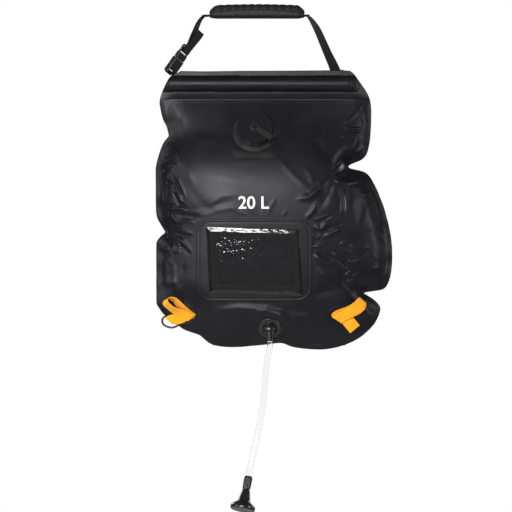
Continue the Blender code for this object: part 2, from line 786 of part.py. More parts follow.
def make_neck_and_cap():
    frame = neck_frame()
    flange, tube, bore = NECK_FLANGE_OD / 2, NECK_OD / 2, NECK_BORE / 2
    top = NECK_RISE
    profile = (
        (bore, top), (tube, top), (tube, NECK_FLANGE + SHEET), (tube + SHEET, NECK_FLANGE),
        (flange - SHEET, NECK_FLANGE), (flange, NECK_FLANGE - SHEET), (flange, 0), (bore, 0),
    )
    turned("filler_neck", profile, BLACK_PLASTIC, frame, 40, closed=True)
    seal_low = top + GAP
    profile = (
        (tube - GAP, seal_low + SEAL), (tube - GAP, seal_low),
        (tube - SEAL_BAND, seal_low), (tube - SEAL_BAND, seal_low + SEAL),
    )
    turned("cap_seal", profile, RUBBER, frame, 40, closed=True)
    under_lid = seal_low + SEAL + GAP
    lid_top = under_lid + CAP_TOP
    skirt_low = lid_top - CAP_SKIRT
    middle = (lid_top + skirt_low) / 2
    outline = fluted_circle(CAP_OD / 2, CAP_FLUTE_DEPTH, CAP_FLUTES)
    cap = plate("filler_cap", [outline], CAP_SKIRT, BLACK_PLASTIC, frame @ Matrix.Translation((0, 0, middle)))
    hollow = tube + CAP_SIDE_GAP
    cut(cap, rod("cap_hollow", hollow, skirt_low - OVERRUN, under_lid, BLACK_PLASTIC, frame, 40))
    cut(cap, rod("stud_hole", STUD_STEM_OD / 2 + GAP, under_lid - OVERRUN, lid_top + OVERRUN, BLACK_PLASTIC, frame, 20))
    leash_low = lid_top + GAP
    make_leash(frame, leash_low)
    head_low = leash_low + LEASH + GAP
    stem, head = STUD_STEM_OD / 2, STUD_OD / 2
    foot = under_lid - GAP
    profile = (
        (0, head_low + STUD_HEAD), (head - STUD_HEAD / 2, head_low + STUD_HEAD), (head, head_low + STUD_HEAD / 2),
        (head, head_low), (stem, head_low), (stem, foot), (head, foot),
        (head, foot - STUD_HEAD), (0, foot - STUD_HEAD),
    )
    turned("cap_stud", profile, BLACK_PLASTIC, frame, 24)


def make_leash(frame, low):
    """A ring round the stud, an arm over the rim and a foot that turns down to the flange."""
    angle = math.radians(LEASH_ANGLE)
    turned_frame = frame @ Matrix.Rotation(angle, 4, "Z")
    reach = NECK_FLANGE_OD / 2 - LEASH_FOOT / 3
    half = LEASH_WIDTH / 2 * 0.9
    ring = LEASH_RING_OD / 2
    join_angle = math.degrees(math.asin(half / ring))
    outline = arc((0, 0), ring, join_angle, 360 - join_angle, 20)
    outline += [(reach - LEASH_FOOT, -half), (reach, -LEASH_WIDTH / 2), (reach, LEASH_WIDTH / 2), (reach - LEASH_FOOT, half)]
    hole = arc((0, 0), STUD_STEM_OD / 2 + GAP, 0, 345, 23)
    lifted = Matrix.Translation((0, 0, low + LEASH / 2))
    arm = plate("cap_leash", [outline, hole], LEASH, RUBBER, turned_frame @ lifted)
    inner = CAP_OD / 2 + CAP_FLUTE_DEPTH
    foot_low = NECK_FLANGE + GAP
    size = (reach - inner, LEASH_WIDTH, low + LEASH / 2 - foot_low)
    centre = ((reach + inner) / 2, 0, (low + LEASH / 2 + foot_low) / 2)
    join(arm, box("leash_foot", size, centre, RUBBER, turned_frame))


def make_outlet():
    frame = outlet_frame()
    flange, hub, bore = OUTLET_FLANGE_OD / 2, OUTLET_HUB_OD / 2, DOME_BORE / 2
    profile = (
        (bore, OUTLET_HUB), (hub, OUTLET_HUB), (hub, OUTLET_FLANGE), (flange - SHEET, OUTLET_FLANGE),
        (flange, OUTLET_FLANGE - SHEET), (flange, 0), (bore, 0),
    )
    turned("outlet_base", profile, BLACK_PLASTIC, frame, 32, closed=True)
    low = OUTLET_HUB + GAP
    outer, inner = DOME_RADIUS - SHEET, DOME_RADIUS - SEAL_BAND
    profile = ((outer, low + OUTLET_SEAL), (outer, low), (inner, low), (inner, low + OUTLET_SEAL))
    turned("outlet_seal", profile, RUBBER, frame, 32, closed=True)
    seat = low + OUTLET_SEAL + GAP
    dome = [(DOME_RADIUS * math.cos(a), seat + DOME_RADIUS * math.sin(a)) for a in quarter_turn(6)]
    elbow = turned("outlet_elbow", [*dome, (0, seat)], BLACK_PLASTIC, frame, 32)
    middle = spigot_end() + Z_AXIS * SPIGOT_DROP
    down = placement(middle, X_AXIS, -Y_AXIS, -Z_AXIS)
    join(elbow, rod("spigot", SPIGOT_OD / 2, 0.0, SPIGOT_DROP, BLACK_PLASTIC, down, 24))
    bore = DOME_BORE / 2
    cut(elbow, rod("hose_bore", bore, -GAP, SPIGOT_DROP + OVERRUN, BLACK_PLASTIC, down, 16))
    cut(elbow, rod("base_bore", bore * 0.96, seat - OVERRUN, seat + DOME_RADIUS * 0.5, BLACK_PLASTIC, frame, 16))


def quarter_turn(steps):
    """Angles from the pole down to the equator."""
    return [math.pi / 2 * (1 - i / steps) for i in range(steps + 1)]


def head_axis():
    """The way the shower head points, leaning forward and to the left of straight down."""
    lean, sway = math.radians(HEAD_LEAN), math.radians(HEAD_SWAY)
    return Vector((-math.sin(sway) * math.cos(lean), -math.sin(lean), -math.cos(sway) * math.cos(lean)))


def spigot_end():
    seat = OUTLET_HUB + GAP + OUTLET_SEAL + GAP
    middle = outlet_frame() @ Vector((0, 0, seat + DOME_RADIUS * 0.5))
    return middle - Z_AXIS * SPIGOT_DROP


def hose_points():
    """The hose's route, straight out of the spigot and straight into the head's collar."""
    start = spigot_end() - Z_AXIS * GAP
    shift = start - Vector(HOSE_ROUTE[0])
    end = Vector(HOSE_ROUTE[-1]) + shift
    route = [Vector(point) + shift for point in HOSE_ROUTE[2:-2]]
    return [start, start - Z_AXIS * HOSE_OD, *route, end - head_axis() * HOSE_OD * 1.5, end]


def head_frame():
    """Local Z runs down the shower head from the top of its collar."""
    out = head_axis()
    across = (X_AXIS - out * X_AXIS.dot(out)).normalized()
    return placement(hose_points()[-1] + out * GAP, across, out.cross(across), out)


def make_hose():
    curve = bpy.data.curves.new("hose", "CURVE")
    curve.dimensions = "3D"
    curve.bevel_depth = HOSE_OD / 2
    curve.bevel_resolution = 2
    curve.use_fill_caps = True
    line = curve.splines.new("POLY")
    points = smooth_route(hose_points(), HOSE_OD * 2)
    line.points.add(len(points) - 1)
    for point, place in zip(line.points, points):
        point.co = (*place, 1)
    made = bpy.data.objects.new("hose", curve)
    PARTS.objects.link(made)
    curve.materials.append(CLEAR)


def make_head():
    frame = head_frame()
    top, low = COLLAR_OD_TOP / 2, COLLAR_OD_LOW / 2
    rings = []
    for share in (0.0, 0.12, 0.88, 1.0):
        radius = top + (low - top) * share - (SHEET if share in (0.0, 1.0) else 0)
        ring = fluted_circle(radius, COLLAR_FLUTE_DEPTH, COLLAR_FLUTES)
        rings.append([(x, y, COLLAR_LENGTH * share) for x, y in ring])
    collar = loft("head_collar", rings, BLACK_PLASTIC, frame)
    stem_end = COLLAR_LENGTH + STEM_LENGTH
    stem = STEM_OD / 2
    groove = ring_height() + RING_ROUND / 2 + GAP
    neck = RING_OD / 2 - RING_ROUND - GAP
    profile = (
        (0, stem_end), (stem, stem_end), (stem, groove), (neck, groove),
        (neck, groove - RING_ROUND - 2 * GAP), (stem, groove - RING_ROUND - 2 * GAP),
        (stem, COLLAR_LENGTH - OVERRUN), (0, COLLAR_LENGTH - OVERRUN),
    )
    join(collar, turned("stem", profile, BLACK_PLASTIC, frame, 20))
    cut(collar, rod("stem_bore", STEM_BORE / 2, -OVERRUN, stem_end + OVERRUN, BLACK_PLASTIC, frame, 10))
    centre = RING_OD / 2 - RING_ROUND / 2
    ring = [
        (centre + RING_ROUND / 2 * math.cos(a), ring_height() + RING_ROUND / 2 * math.sin(a))
        for a in (math.radians(-45 * i) for i in range(8))
    ]
    turned("head_seal", ring, RUBBER, frame, 16, closed=True)
    make_bell(frame)


def ring_height():
    return COLLAR_LENGTH + STEM_LENGTH * 0.55


def make_bell(frame):
    """The cone and rim that slide on the stem, open below for the rose plate."""
    start = COLLAR_LENGTH + GAP
    cone_end = start + BELL_CONE
    rim_end = cone_end + BELL_RIM
    throat = RING_OD / 2 + GAP
    rose = ROSE_OD / 2
    plate_seat = rim_end - ROSE_PLATE - GAP
    cavity = rose - BELL_WALL
    profile = (
        (throat, rim_end - BELL_RIM + BELL_WALL), (cavity - BELL_WALL, rim_end - BELL_RIM + 2 * BELL_WALL),
        (cavity - BELL_WALL, plate_seat), (cavity, plate_seat), (cavity, rim_end),
        (rose - SHEET, rim_end), (rose, rim_end - SHEET), (rose, cone_end + 2 * BELL_WALL),
        (rose - BELL_WALL, cone_end + BELL_WALL), (BELL_CONE_OD / 2 + BELL_WALL, cone_end),
        (BELL_CONE_OD / 2, cone_end - BELL_WALL), (BELL_THROAT_OD / 2, start), (throat, start),
    )
    turned("head_bell", profile, BLACK_PLASTIC, frame, 36, closed=True)
    radius = cavity - GAP
    rose_plate = rod("rose_plate", radius, plate_seat + GAP, rim_end, BLACK_PLASTIC, frame, 36)
    holes = [(0.0, 0.0)]
    for ring in range(1, ROSE_RINGS + 1):
        reach = radius * 0.84 * ring / ROSE_RINGS
        holes += [
            (reach * math.cos(a), reach * math.sin(a))
            for a in (2 * math.pi * i / (6 * ring) for i in range(6 * ring))
        ]
    for number, (x, y) in enumerate(holes):
        place = frame @ Matrix.Translation((x, y, 0))
        low, high = plate_seat - OVERRUN / 4, rim_end + OVERRUN / 4
        cut(rose_plate, rod(f"rose_hole_{number}", ROSE_HOLE / 2, low, high, BLACK_PLASTIC, place, 6))


# Handle, straps and buckle


def grip_split(x):
    """Height of the line between the grip's halves, which arches up in the middle."""
    share = 2 * abs(x) / GRIP_LENGTH
    return GRIP_SPLIT_END + GRIP_SPLIT_RISE * (1 - share**2)


def end_taper(x):
    """The grip draws in over its last part."""
    share = 2 * abs(x) / GRIP_LENGTH
    return 1 - 0.22 * smooth_step((share - 0.88) / 0.12)


def make_grip():
    stations = [GRIP_LENGTH * (i / 16 - 0.5) for i in range(17)]
    stations = [stations[0], stations[0] * 0.96, *stations[1:-1], stations[-1] * 0.96, stations[-1]]
    rings = []
    for x in stations:
        half, flat, split = GRIP_WIDTH / 2 * end_taper(x), GRIP_FLAT / 2, grip_split(x)
        shoulder = GRIP_SPLIT_END * 0.55
        rings.append([
            (x, -flat, 0), (x, flat, 0), (x, half * 0.88, shoulder * 0.4), (x, half, shoulder),
            (x, half, split), (x, -half, split), (x, -half, shoulder), (x, -half * 0.88, shoulder * 0.4),
        ])
    base = loft("grip_base", rings, GRIP_RUBBER, smooth=50.0)
    slot_height = WEB + 2 * GAP
    size = (GRIP_LENGTH + OVERRUN, WEB_WIDTH + 2 * GAP, slot_height)
    cut(base, box("web_slot", size, (0, 0, GRIP_FLOOR + slot_height / 2), GRIP_RUBBER))
    rings = []
    steps = GRIP_RIBS * 4
    for i in range(steps + 1):
        x = GRIP_LENGTH * (i / steps - 0.5)
        rib = GRIP_RIB_RISE * abs(math.sin(math.pi * i / 4)) ** 0.7
        half, split = GRIP_WIDTH / 2 * end_taper(x), grip_split(x) + GAP
        top = (GRIP_HEIGHT - GRIP_RIB_RISE + rib) * (1 - 0.8 * (1 - end_taper(x))) - split
        crown = [
            (x, half * math.cos(a), split + top * math.sin(a) ** 0.75)
            for a in (math.pi * k / 8 for k in range(1, 8))
        ]
        rings.append([(x, half, split), *crown, (x, -half, split)])
    loft("grip_top", rings, GRIP_RUBBER, smooth=50.0)


def turned_side(run, degrees):
    """Direction of webbing's width: across the view at 0, in line with it at 90."""
    flat = run.cross(Y_AXIS).normalized()
    angle = math.radians(degrees)
    return flat * math.cos(angle) + Y_AXIS * math.sin(angle)


def rod_loop(x, tail):
    """The webbing's way round the rod, from the end of its short tail to the strap's start."""
    inner = LOOP_RADIUS - WEB - 2 * GAP
    route = [
        Vector((x, inner, ROD_Z + tail)),
        Vector((x, inner, ROD_Z + LOOP_RADIUS * 1.55)),
        Vector((x, inner * 0.90, ROD_Z + LOOP_RADIUS * 1.22)),
        Vector((x, inner * 0.56, ROD_Z + LOOP_RADIUS * 1.02)),
    ]
    for i in range(1, 16):
        angle = math.radians(72 + 18.6 * (i - 0.5))
        route.append(Vector((x, LOOP_RADIUS * math.cos(angle), ROD_Z + LOOP_RADIUS * math.sin(angle))))
    route.append(Vector((x, LOOP_RADIUS, ROD_Z)))
    route.append(Vector((x, LOOP_RADIUS, ROD_Z + LOOP_RADIUS * 1.15)))
    return [(point, X_AXIS) for point in route]


def strap_places(shares):
    return [(Vector(place) * ROD_DROP, turn) for place, turn in shares]


def make_straps():
    strap_level = GRIP_FLOOR + GAP + WEB / 2
    route = rod_loop(RIGHT_LOOP_X, WEB_WIDTH * 1.3)
    out_of_grip = strap_places(RIGHT_STRAP_SHARES)
    middle = [(Vector((WEB, 0, strap_level)), Y_AXIS), (Vector((GRIP_LENGTH / 2, 0, strap_level)), Y_AXIS)]
    points = [place for place, turn in reversed(out_of_grip[1:])]
    turns = [turn for place, turn in reversed(out_of_grip[1:])]
    points = [route[-1][0], *points, middle[1][0]]
    for i, turn in enumerate(turns, 1):
        run = (points[i + 1] - points[i - 1]).normalized()
        route.append((points[i], turned_side(run, turn)))
    route += [middle[1], middle[0]]
    ribbon("strap_main", untwisted(route), WEB_WIDTH, WEB, WEBBING)


def untwisted(route):
    """The same route with each width direction on the same side as the one before."""
    kept = [route[0]]
    for place, side in route[1:]:
        kept.append((place, side if side.dot(kept[-1][1]) >= 0 else -side))
    return kept


def buckle_frame():
    """Local Z runs up the buckle, X across it and -Y out of its face."""
    lean, turn = math.radians(BUCKLE_LEAN), math.radians(BUCKLE_TURN)
    run = Vector((math.sin(lean), 0, math.cos(lean)))
    flat = Vector((math.cos(lean), 0, -math.sin(lean)))
    across = flat * math.cos(turn) + Y_AXIS * math.sin(turn)
    foot = Vector(BUCKLE_FOOT_SHARES) * ROD_DROP
    return placement(foot, across, run.cross(across), run)


def in_buckle(frame, u, n, v=0.0):
    return frame @ Vector((v, -n, u))


def make_buckle():
    frame = buckle_frame()
    size = (BUCKLE_WIDTH, SOCKET_DEPTH, SOCKET_LENGTH)
    rounding = SOCKET_DEPTH / 8
    socket = box("buckle_socket", size, (0, 0, SOCKET_LENGTH / 2), BLACK_PLASTIC, frame, rounding)
    size = (CAVITY_WIDTH, CAVITY_DEPTH, SOCKET_LENGTH)
    cut(socket, box("cavity", size, (0, 0, CAVITY_START + SOCKET_LENGTH / 2), BLACK_PLASTIC, frame))
    size = (BUCKLE_WIDTH + OVERRUN, CAVITY_DEPTH * 0.98, SIDE_WINDOW_LENGTH)
    middle = SIDE_WINDOW_START + SIDE_WINDOW_LENGTH / 2
    cut(socket, box("side_windows", size, (0, 0, middle), BLACK_PLASTIC, frame))
    size = (CAVITY_WIDTH + 2 * GAP, SOCKET_DEPTH + OVERRUN, WEB_SLOT)
    cut(socket, box("socket_web_slot", size, (0, 0, WEB_BAR + WEB_SLOT / 2), BLACK_PLASTIC, frame))
    size = (CAVITY_WIDTH + 2 * GAP, OVERRUN, WEB_BAR + WEB_SLOT + OVERRUN)
    for label, face in (("front", -1), ("back", 1)):
        centre = (0, face * (WEB_BAR_DEPTH + OVERRUN) / 2, (WEB_BAR + WEB_SLOT - OVERRUN) / 2)
        cut(socket, box(f"{label}_bar_relief", size, centre, BLACK_PLASTIC, frame))
    make_plug(frame)
    for label, side in (("left", -1), ("right", 1)):
        make_arm(frame, label, side)
    make_anchor(frame)
    make_adjuster(frame)


def make_plug(frame):
    """The body that meets the socket, its guide and the ladder that the strap is laced through."""
    foot = SOCKET_LENGTH + GAP * 2
    half = BUCKLE_WIDTH / 2
    slot_half = WEB_WIDTH / 2 + GAP * 2
    body_end = foot + PLUG_BODY_LENGTH
    bar_low = body_end + LADDER_SLOT
    slot_high = bar_low + LADDER_BAR
    end_low = slot_high + LADDER_SLOT_HIGH
    end = end_low + LADDER_BAR_END
    corner = LADDER_BAR_END * 0.8
    outline = [
        (-half, body_end - OVERRUN), (half, body_end - OVERRUN), (half, end - corner),
        (half - corner, end), (corner - half, end), (-half, end - corner),
    ]
    slots = [
        [(-slot_half, low), (slot_half, low), (slot_half, high), (-slot_half, high)]
        for low, high in ((body_end, bar_low), (slot_high, end_low))
    ]
    upright = frame @ Matrix.Rotation(math.pi / 2, 4, "X")
    plug = plate("buckle_plug", [outline, *slots], LADDER_DEPTH, BLACK_PLASTIC, upright)
    size = (BUCKLE_WIDTH * 0.985, PLUG_BODY_DEPTH, PLUG_BODY_LENGTH - GAP)
    centre = (0, 0, foot + (PLUG_BODY_LENGTH - GAP) / 2)
    join(plug, box("plug_body", size, centre, BLACK_PLASTIC, frame, PLUG_BODY_DEPTH / 8))
    size = (GUIDE_WIDTH, CAVITY_DEPTH - 4 * GAP, GUIDE_LENGTH + OVERRUN)
    centre = (0, 0, foot - GUIDE_LENGTH / 2 + OVERRUN / 2)
    join(plug, box("guide", size, centre, BLACK_PLASTIC, frame, GUIDE_WIDTH / 8))


def make_arm(frame, label, side):
    """A sprung latch arm, whose barb stands in the socket's side window."""
    root = SOCKET_LENGTH + GAP
    inner, outer = ARM_OFFSET - ARM_THICKNESS / 2, ARM_OFFSET + ARM_THICKNESS / 2
    tip = root - ARM_LENGTH
    shoulder = SIDE_WINDOW_START + SIDE_WINDOW_LENGTH - GAP
    barb = BARB_REACH
    window_low = SIDE_WINDOW_START + 2 * GAP
    outline = [
        (inner, root), (inner, tip), (outer - ARM_THICKNESS * 0.3, tip),
        (outer + (barb - outer) * 0.3, window_low), (barb, shoulder - SIDE_WINDOW_LENGTH * 0.35),
        (barb - GAP, shoulder), (outer, shoulder), (outer, root),
    ]
    outline = [(side * v, u) for v, u in outline]
    upright = frame @ Matrix.Rotation(math.pi / 2, 4, "X")
    depth = CAVITY_DEPTH - 3 * GAP
    plate(f"latch_arm_{label}", [outline], depth, BLACK_PLASTIC, upright)


def make_anchor(frame):
    """From the rod up through the slot at the foot of the socket and back round its bar."""
    route = rod_loop(LEFT_LOOP_X, WEB_WIDTH * 1.02)
    across = frame.to_3x3() @ X_AXIS
    bar = WEB_BAR / 2
    round_bar = WEB_BAR_DEPTH / 2 + 3 * GAP + WEB / 2
    start = route[-1][0]
    under = -(3 * GAP + WEB / 2)
    near = in_buckle(frame, bar * 0.6, round_bar * 3.5, WEB_WIDTH * 0.2)
    route.append((start.lerp(near, 0.5), blend_side(across, 0.35)))
    route.append((near, blend_side(across, 0.8)))
    for u, n in (
        (WEB_BAR, round_bar * 2.1),
        (WEB_BAR + WEB_SLOT * 0.25, round_bar * 1.4),
        (WEB_BAR + WEB_SLOT * 0.36, round_bar * 0.9),
        (WEB_BAR + WEB_SLOT * 0.5, 0.0),
        (WEB_BAR + WEB_SLOT * 0.32, -round_bar * 0.82),
        (bar, -round_bar),
        (-WEB_SLOT * 0.2, -round_bar * 0.8),
        (under, 0.0),
        (under * 1.25, round_bar * 1.1),
        (under * 1.6, round_bar * 2.1),
    ):
        route.append((in_buckle(frame, u, n), across))
    ribbon("anchor_strap", untwisted(route), WEB_WIDTH, WEB, WEBBING)


def blend_side(across, share):
    return (X_AXIS * (1 - share) + across * share).normalized()


def make_adjuster(frame):
    """From the grip down to the ladder of the plug, round its middle bar and up again as a tail."""
    across = frame.to_3x3() @ X_AXIS
    body_end = SOCKET_LENGTH + GAP * 2 + PLUG_BODY_LENGTH
    bar_low = body_end + LADDER_SLOT
    slot_high = bar_low + LADDER_BAR
    end_low = slot_high + LADDER_SLOT_HIGH
    end = end_low + LADDER_BAR_END
    over = LADDER_DEPTH / 2 + 2 * GAP + WEB / 2
    outer = over + WEB + 2 * GAP
    low_slot = (body_end + bar_low) / 2
    high_slot = (slot_high + end_low) / 2
    laced = (
        (end + WEB * 2, over + GAP),
        (end_low + LADDER_BAR_END / 2, over + GAP),
        (end_low - WEB, over * 0.8),
        (high_slot, 0.0),
        (high_slot - WEB * 0.8, -over * 0.75),
        ((bar_low + slot_high) / 2, -over - GAP),
        (low_slot + WEB * 0.8, -over * 0.75),
        (low_slot, 0.0),
        (low_slot + WEB * 0.4, outer * 0.72),
        (low_slot + WEB * 1.9, outer),
        (high_slot, outer),
        (end, outer + GAP),
        (end + WEB_WIDTH * 0.5, outer + WEB),
        (end + WEB_WIDTH * 1.1, outer + WEB * 2),
        (end + WEB_WIDTH * 1.7, outer + WEB * 2),
    )
    strap_level = GRIP_FLOOR + GAP + WEB / 2
    entry = Vector((-GRIP_LENGTH / 2, 0, strap_level))
    places = strap_places(LEFT_STRAP_SHARES)
    chain = [entry, *(place for place, turn in places), in_buckle(frame, *laced[0])]
    route = [(Vector((-WEB, 0, strap_level)), Y_AXIS), (entry, Y_AXIS)]
    for i, (place, turn) in enumerate(places, 1):
        up = (chain[i - 1] - chain[i + 1]).normalized()
        route.append((chain[i], turned_side(up, turn)))
    route += [(in_buckle(frame, u, n), across) for u, n in laced]
    ribbon("strap_adjust", untwisted(route), WEB_WIDTH, WEB, WEBBING)


def corner_frame(label):
    """Local Z stands out of the sheet at a corner patch, whose middle is the origin."""
    corner = CORNERS[label]
    (x, z), inward = corner_centre(label), math.radians(corner["inward"])
    slope = math.tan(math.radians(CORNER_RISE))
    out = Vector((-slope * math.cos(inward), -1, -slope * math.sin(inward))).normalized()
    across = (X_AXIS - out * X_AXIS.dot(out)).normalized()
    return placement((x, -corner["depth"], z), across, out.cross(across), out)


def make_corners():
    for label in CORNERS:
        disc = facing(*corner_centre(label))
        tool = rod(f"{label}_disc", CORNER_PATCH_RADIUS, -OVERRUN, FRONT_SWELL, PVC, disc, 28)
        layer_on_front(f"corner_patch_{label}", GAP, PATCH, tool, PVC)
        make_corner_loop(label)


def make_corner_loop(label):
    """A folded band on its patch: from its upper outer end to the fold and back under itself."""
    frame = corner_frame(label)
    places = CORNER_LOOP_SHARES[label]
    turn = frame.to_3x3()
    near = SHEET / 2 + GAP + PATCH + 2 * GAP + LOOP_WEB / 2
    far = near + LOOP_OPENING + LOOP_WEB
    fold, upper, lower = (Vector((*places[key], 0)) * WEB_WIDTH for key in ("fold", "upper", "lower"))
    face = Vector((0, 0, 1))
    up_side = face.cross(fold - upper).normalized()
    low_side = face.cross(fold - lower).normalized()
    out = (fold - upper.lerp(lower, 0.5)).normalized()
    radius = (far - near) / 2
    route = [(fold.lerp(upper, t) + face * far, up_side) for t in LOOP_ARM_SHARES]
    for i in range(1, 6):
        angle = math.pi * i / 6
        place = fold + out * radius * math.sin(angle) + face * (near + radius * (1 + math.cos(angle)))
        route.append((place, up_side.lerp(low_side, i / 6)))
    route += [(fold.lerp(lower, t) + face * near, low_side) for t in reversed(LOOP_ARM_SHARES)]
    placed = [(frame @ place, turn @ side) for place, side in route]
    ribbon(f"corner_loop_{label}", placed, WEB_WIDTH, LOOP_WEB, ORANGE)


clear_scene()
PARTS = new_collection("camp_shower_bag")
CUTTERS = new_collection("cutters")
PVC = finish("black_pvc", (0.02, 0.02, 0.022), 0.42)
BLACK_PLASTIC = finish("black_plastic", (0.012, 0.012, 0.013), 0.3)
GRIP_RUBBER = finish("grip_rubber", (0.018, 0.018, 0.019), 0.55)
WEBBING = finish("black_webbing", (0.02, 0.021, 0.021), 0.8)
ORANGE = finish("orange_webbing", (0.93, 0.40, 0.012), 0.75)
RUBBER = finish("black_rubber", (0.016, 0.016, 0.017), 0.6)
CLEAR = finish("clear_pvc", (0.85, 0.87, 0.88), 0.12, alpha=0.35)
BINDING_CLOTH = finish("binding_cloth", (0.045, 0.047, 0.04), 0.85)
NET_CLOTH = finish("net_cloth", (0.03, 0.03, 0.028), 0.8)

make_bag()
make_neck_and_cap()
make_pocket()
make_corners()
make_outlet()
make_hose()
make_head()
make_grip()
make_straps()
make_buckle()
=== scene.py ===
"""The look of the camp shower bag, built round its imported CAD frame.

Metres, +Z up, the origin at the hang point under the grip. The camera looks along +Y.
Places on the photograph are given in its pixels, PIXEL metres each, and at() turns them into metres.
"""

import json
import math

import bmesh
import bpy
import numpy as np
from mathutils import Matrix, Vector

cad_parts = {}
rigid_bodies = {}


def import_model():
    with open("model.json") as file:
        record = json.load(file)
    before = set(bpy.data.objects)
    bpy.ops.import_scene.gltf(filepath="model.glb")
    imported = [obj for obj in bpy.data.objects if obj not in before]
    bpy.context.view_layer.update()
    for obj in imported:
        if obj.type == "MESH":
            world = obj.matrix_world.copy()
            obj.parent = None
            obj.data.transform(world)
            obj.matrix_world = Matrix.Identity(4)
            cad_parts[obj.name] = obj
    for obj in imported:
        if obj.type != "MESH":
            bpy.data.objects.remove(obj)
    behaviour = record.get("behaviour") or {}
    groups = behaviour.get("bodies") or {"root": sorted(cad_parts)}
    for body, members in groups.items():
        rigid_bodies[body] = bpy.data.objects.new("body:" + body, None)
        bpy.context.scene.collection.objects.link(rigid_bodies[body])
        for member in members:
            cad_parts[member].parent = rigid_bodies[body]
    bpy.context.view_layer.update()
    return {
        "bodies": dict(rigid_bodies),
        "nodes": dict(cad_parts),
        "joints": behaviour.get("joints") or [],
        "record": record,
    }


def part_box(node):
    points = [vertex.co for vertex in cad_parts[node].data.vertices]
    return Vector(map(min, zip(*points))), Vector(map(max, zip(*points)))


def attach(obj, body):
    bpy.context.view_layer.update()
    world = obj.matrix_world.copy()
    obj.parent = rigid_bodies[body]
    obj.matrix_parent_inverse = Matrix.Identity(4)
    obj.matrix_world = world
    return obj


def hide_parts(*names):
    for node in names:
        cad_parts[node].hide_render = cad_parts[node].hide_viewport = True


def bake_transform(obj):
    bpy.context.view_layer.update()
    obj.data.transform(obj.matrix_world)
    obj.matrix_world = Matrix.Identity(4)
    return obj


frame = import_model()
NODES = frame["nodes"]

# Photograph
PIXEL = 0.00176
HANG_X, HANG_Y = 257.0, 18.0
FRAME_PIXELS = 512
CAMERA_DISTANCE = 2.8
SENSOR = 36.0

# Sizes that the CAD source also has
GAP = 0.0003
SHEET = 0.0006
PATCH = 0.0008
FILM = 0.0004
ROD_Z = -0.116
SLEEVE_RADIUS = 0.0137
SEAM = 0.00045
POCKET = (-0.005, -0.427)
POCKET_SIZE = (0.202, 0.141)
FILM_SIZE = (0.163, 0.117)
NECK = (-0.004, -0.2035)
NECK_DEPTH = 0.0255
NECK_TILT = 25.0
OUTLET = (0.0224, -0.5452)
OUTLET_DEPTH = 0.0175
OUTLET_TILT = 26.0
HOSE_OD = 0.0105
HOSE_BORE = 0.0080
WEB_WIDTH = 0.020
WEB = 0.0012
CORNERS = {
    "left": ((-0.1302, -0.5174), 52.0, 0.0092),
    "right": ((0.1584, -0.5280), 130.0, 0.0140),
}
CORNER_RISE = 14.0

X_AXIS, Y_AXIS = Vector((1, 0, 0)), Vector((0, 1, 0))


def at(px, py, y=0.0):
    """A point of the photograph in metres, at a depth y."""
    return Vector(((px - HANG_X) * PIXEL, y, (HANG_Y - py) * PIXEL))


# Camera and light


def add_object(name, data):
    thing = bpy.data.objects.new(name, data)
    bpy.context.scene.collection.objects.link(thing)
    return thing


def make_camera():
    data = bpy.data.cameras.new("camera")
    data.sensor_width = SENSOR
    data.sensor_fit = "HORIZONTAL"
    data.lens = SENSOR * CAMERA_DISTANCE / (FRAME_PIXELS * PIXEL)
    camera = add_object("camera", data)
    middle = at(FRAME_PIXELS / 2, FRAME_PIXELS / 2)
    camera.location = (middle.x, -CAMERA_DISTANCE, middle.z)
    camera.rotation_euler = (math.radians(90), 0, 0)
    bpy.context.scene.camera = camera


def make_lamp(name, place, aim, size, power):
    data = bpy.data.lights.new(name, "AREA")
    data.shape = "RECTANGLE"
    data.size, data.size_y = size
    data.energy = power
    lamp = add_object(name, data)
    lamp.location = place
    lamp.rotation_euler = (Vector(aim) - Vector(place)).to_track_quat("-Z", "Y").to_euler()


def feed(tree, socket, value):
    """Gives a socket its value, or links the output that feeds it."""
    if isinstance(value, bpy.types.NodeSocket):
        tree.links.new(value, socket)
    else:
        socket.default_value = value


def add_node(tree, kind, *inputs, **values):
    """A shader node. inputs go to its sockets in order, and values to the socket or setting of that name."""
    made = tree.nodes.new("ShaderNode" + kind)
    for key, value in values.items():
        socket = key.replace("_", " ")
        if socket in made.inputs:
            feed(tree, made.inputs[socket], value)
        else:
            setattr(made, key, value)
    for socket, value in zip(made.inputs, inputs):
        feed(tree, socket, value)
    return made


# The room's own light, and how much of the white surroundings a reflection shows
WORLD_LIGHT, GLOSSY_SHARE = 0.10, 0.015


def make_world():
    """A dim room, which the camera and the clear pieces see as plain white."""
    world = bpy.data.worlds.new("studio")
    bpy.context.scene.world = world
    world.use_nodes = True
    tree = world.node_tree
    tree.nodes.clear()
    rays = add_node(tree, "LightPath").outputs
    seen = add_node(tree, "Math", rays["Is Camera Ray"], rays["Is Transmission Ray"], operation="MAXIMUM")
    glossy = add_node(tree, "Math", rays["Is Glossy Ray"], GLOSSY_SHARE, operation="MULTIPLY")
    share = add_node(tree, "Math", seen.outputs[0], glossy.outputs[0], operation="MAXIMUM")
    room = add_node(tree, "Background", Color=(0.9, 0.92, 0.95, 1), Strength=WORLD_LIGHT)
    white = add_node(tree, "Background", Color=(1, 1, 1, 1))
    mix = add_node(tree, "MixShader", share.outputs[0], room.outputs[0], white.outputs[0])
    add_node(tree, "OutputWorld", mix.outputs[0])


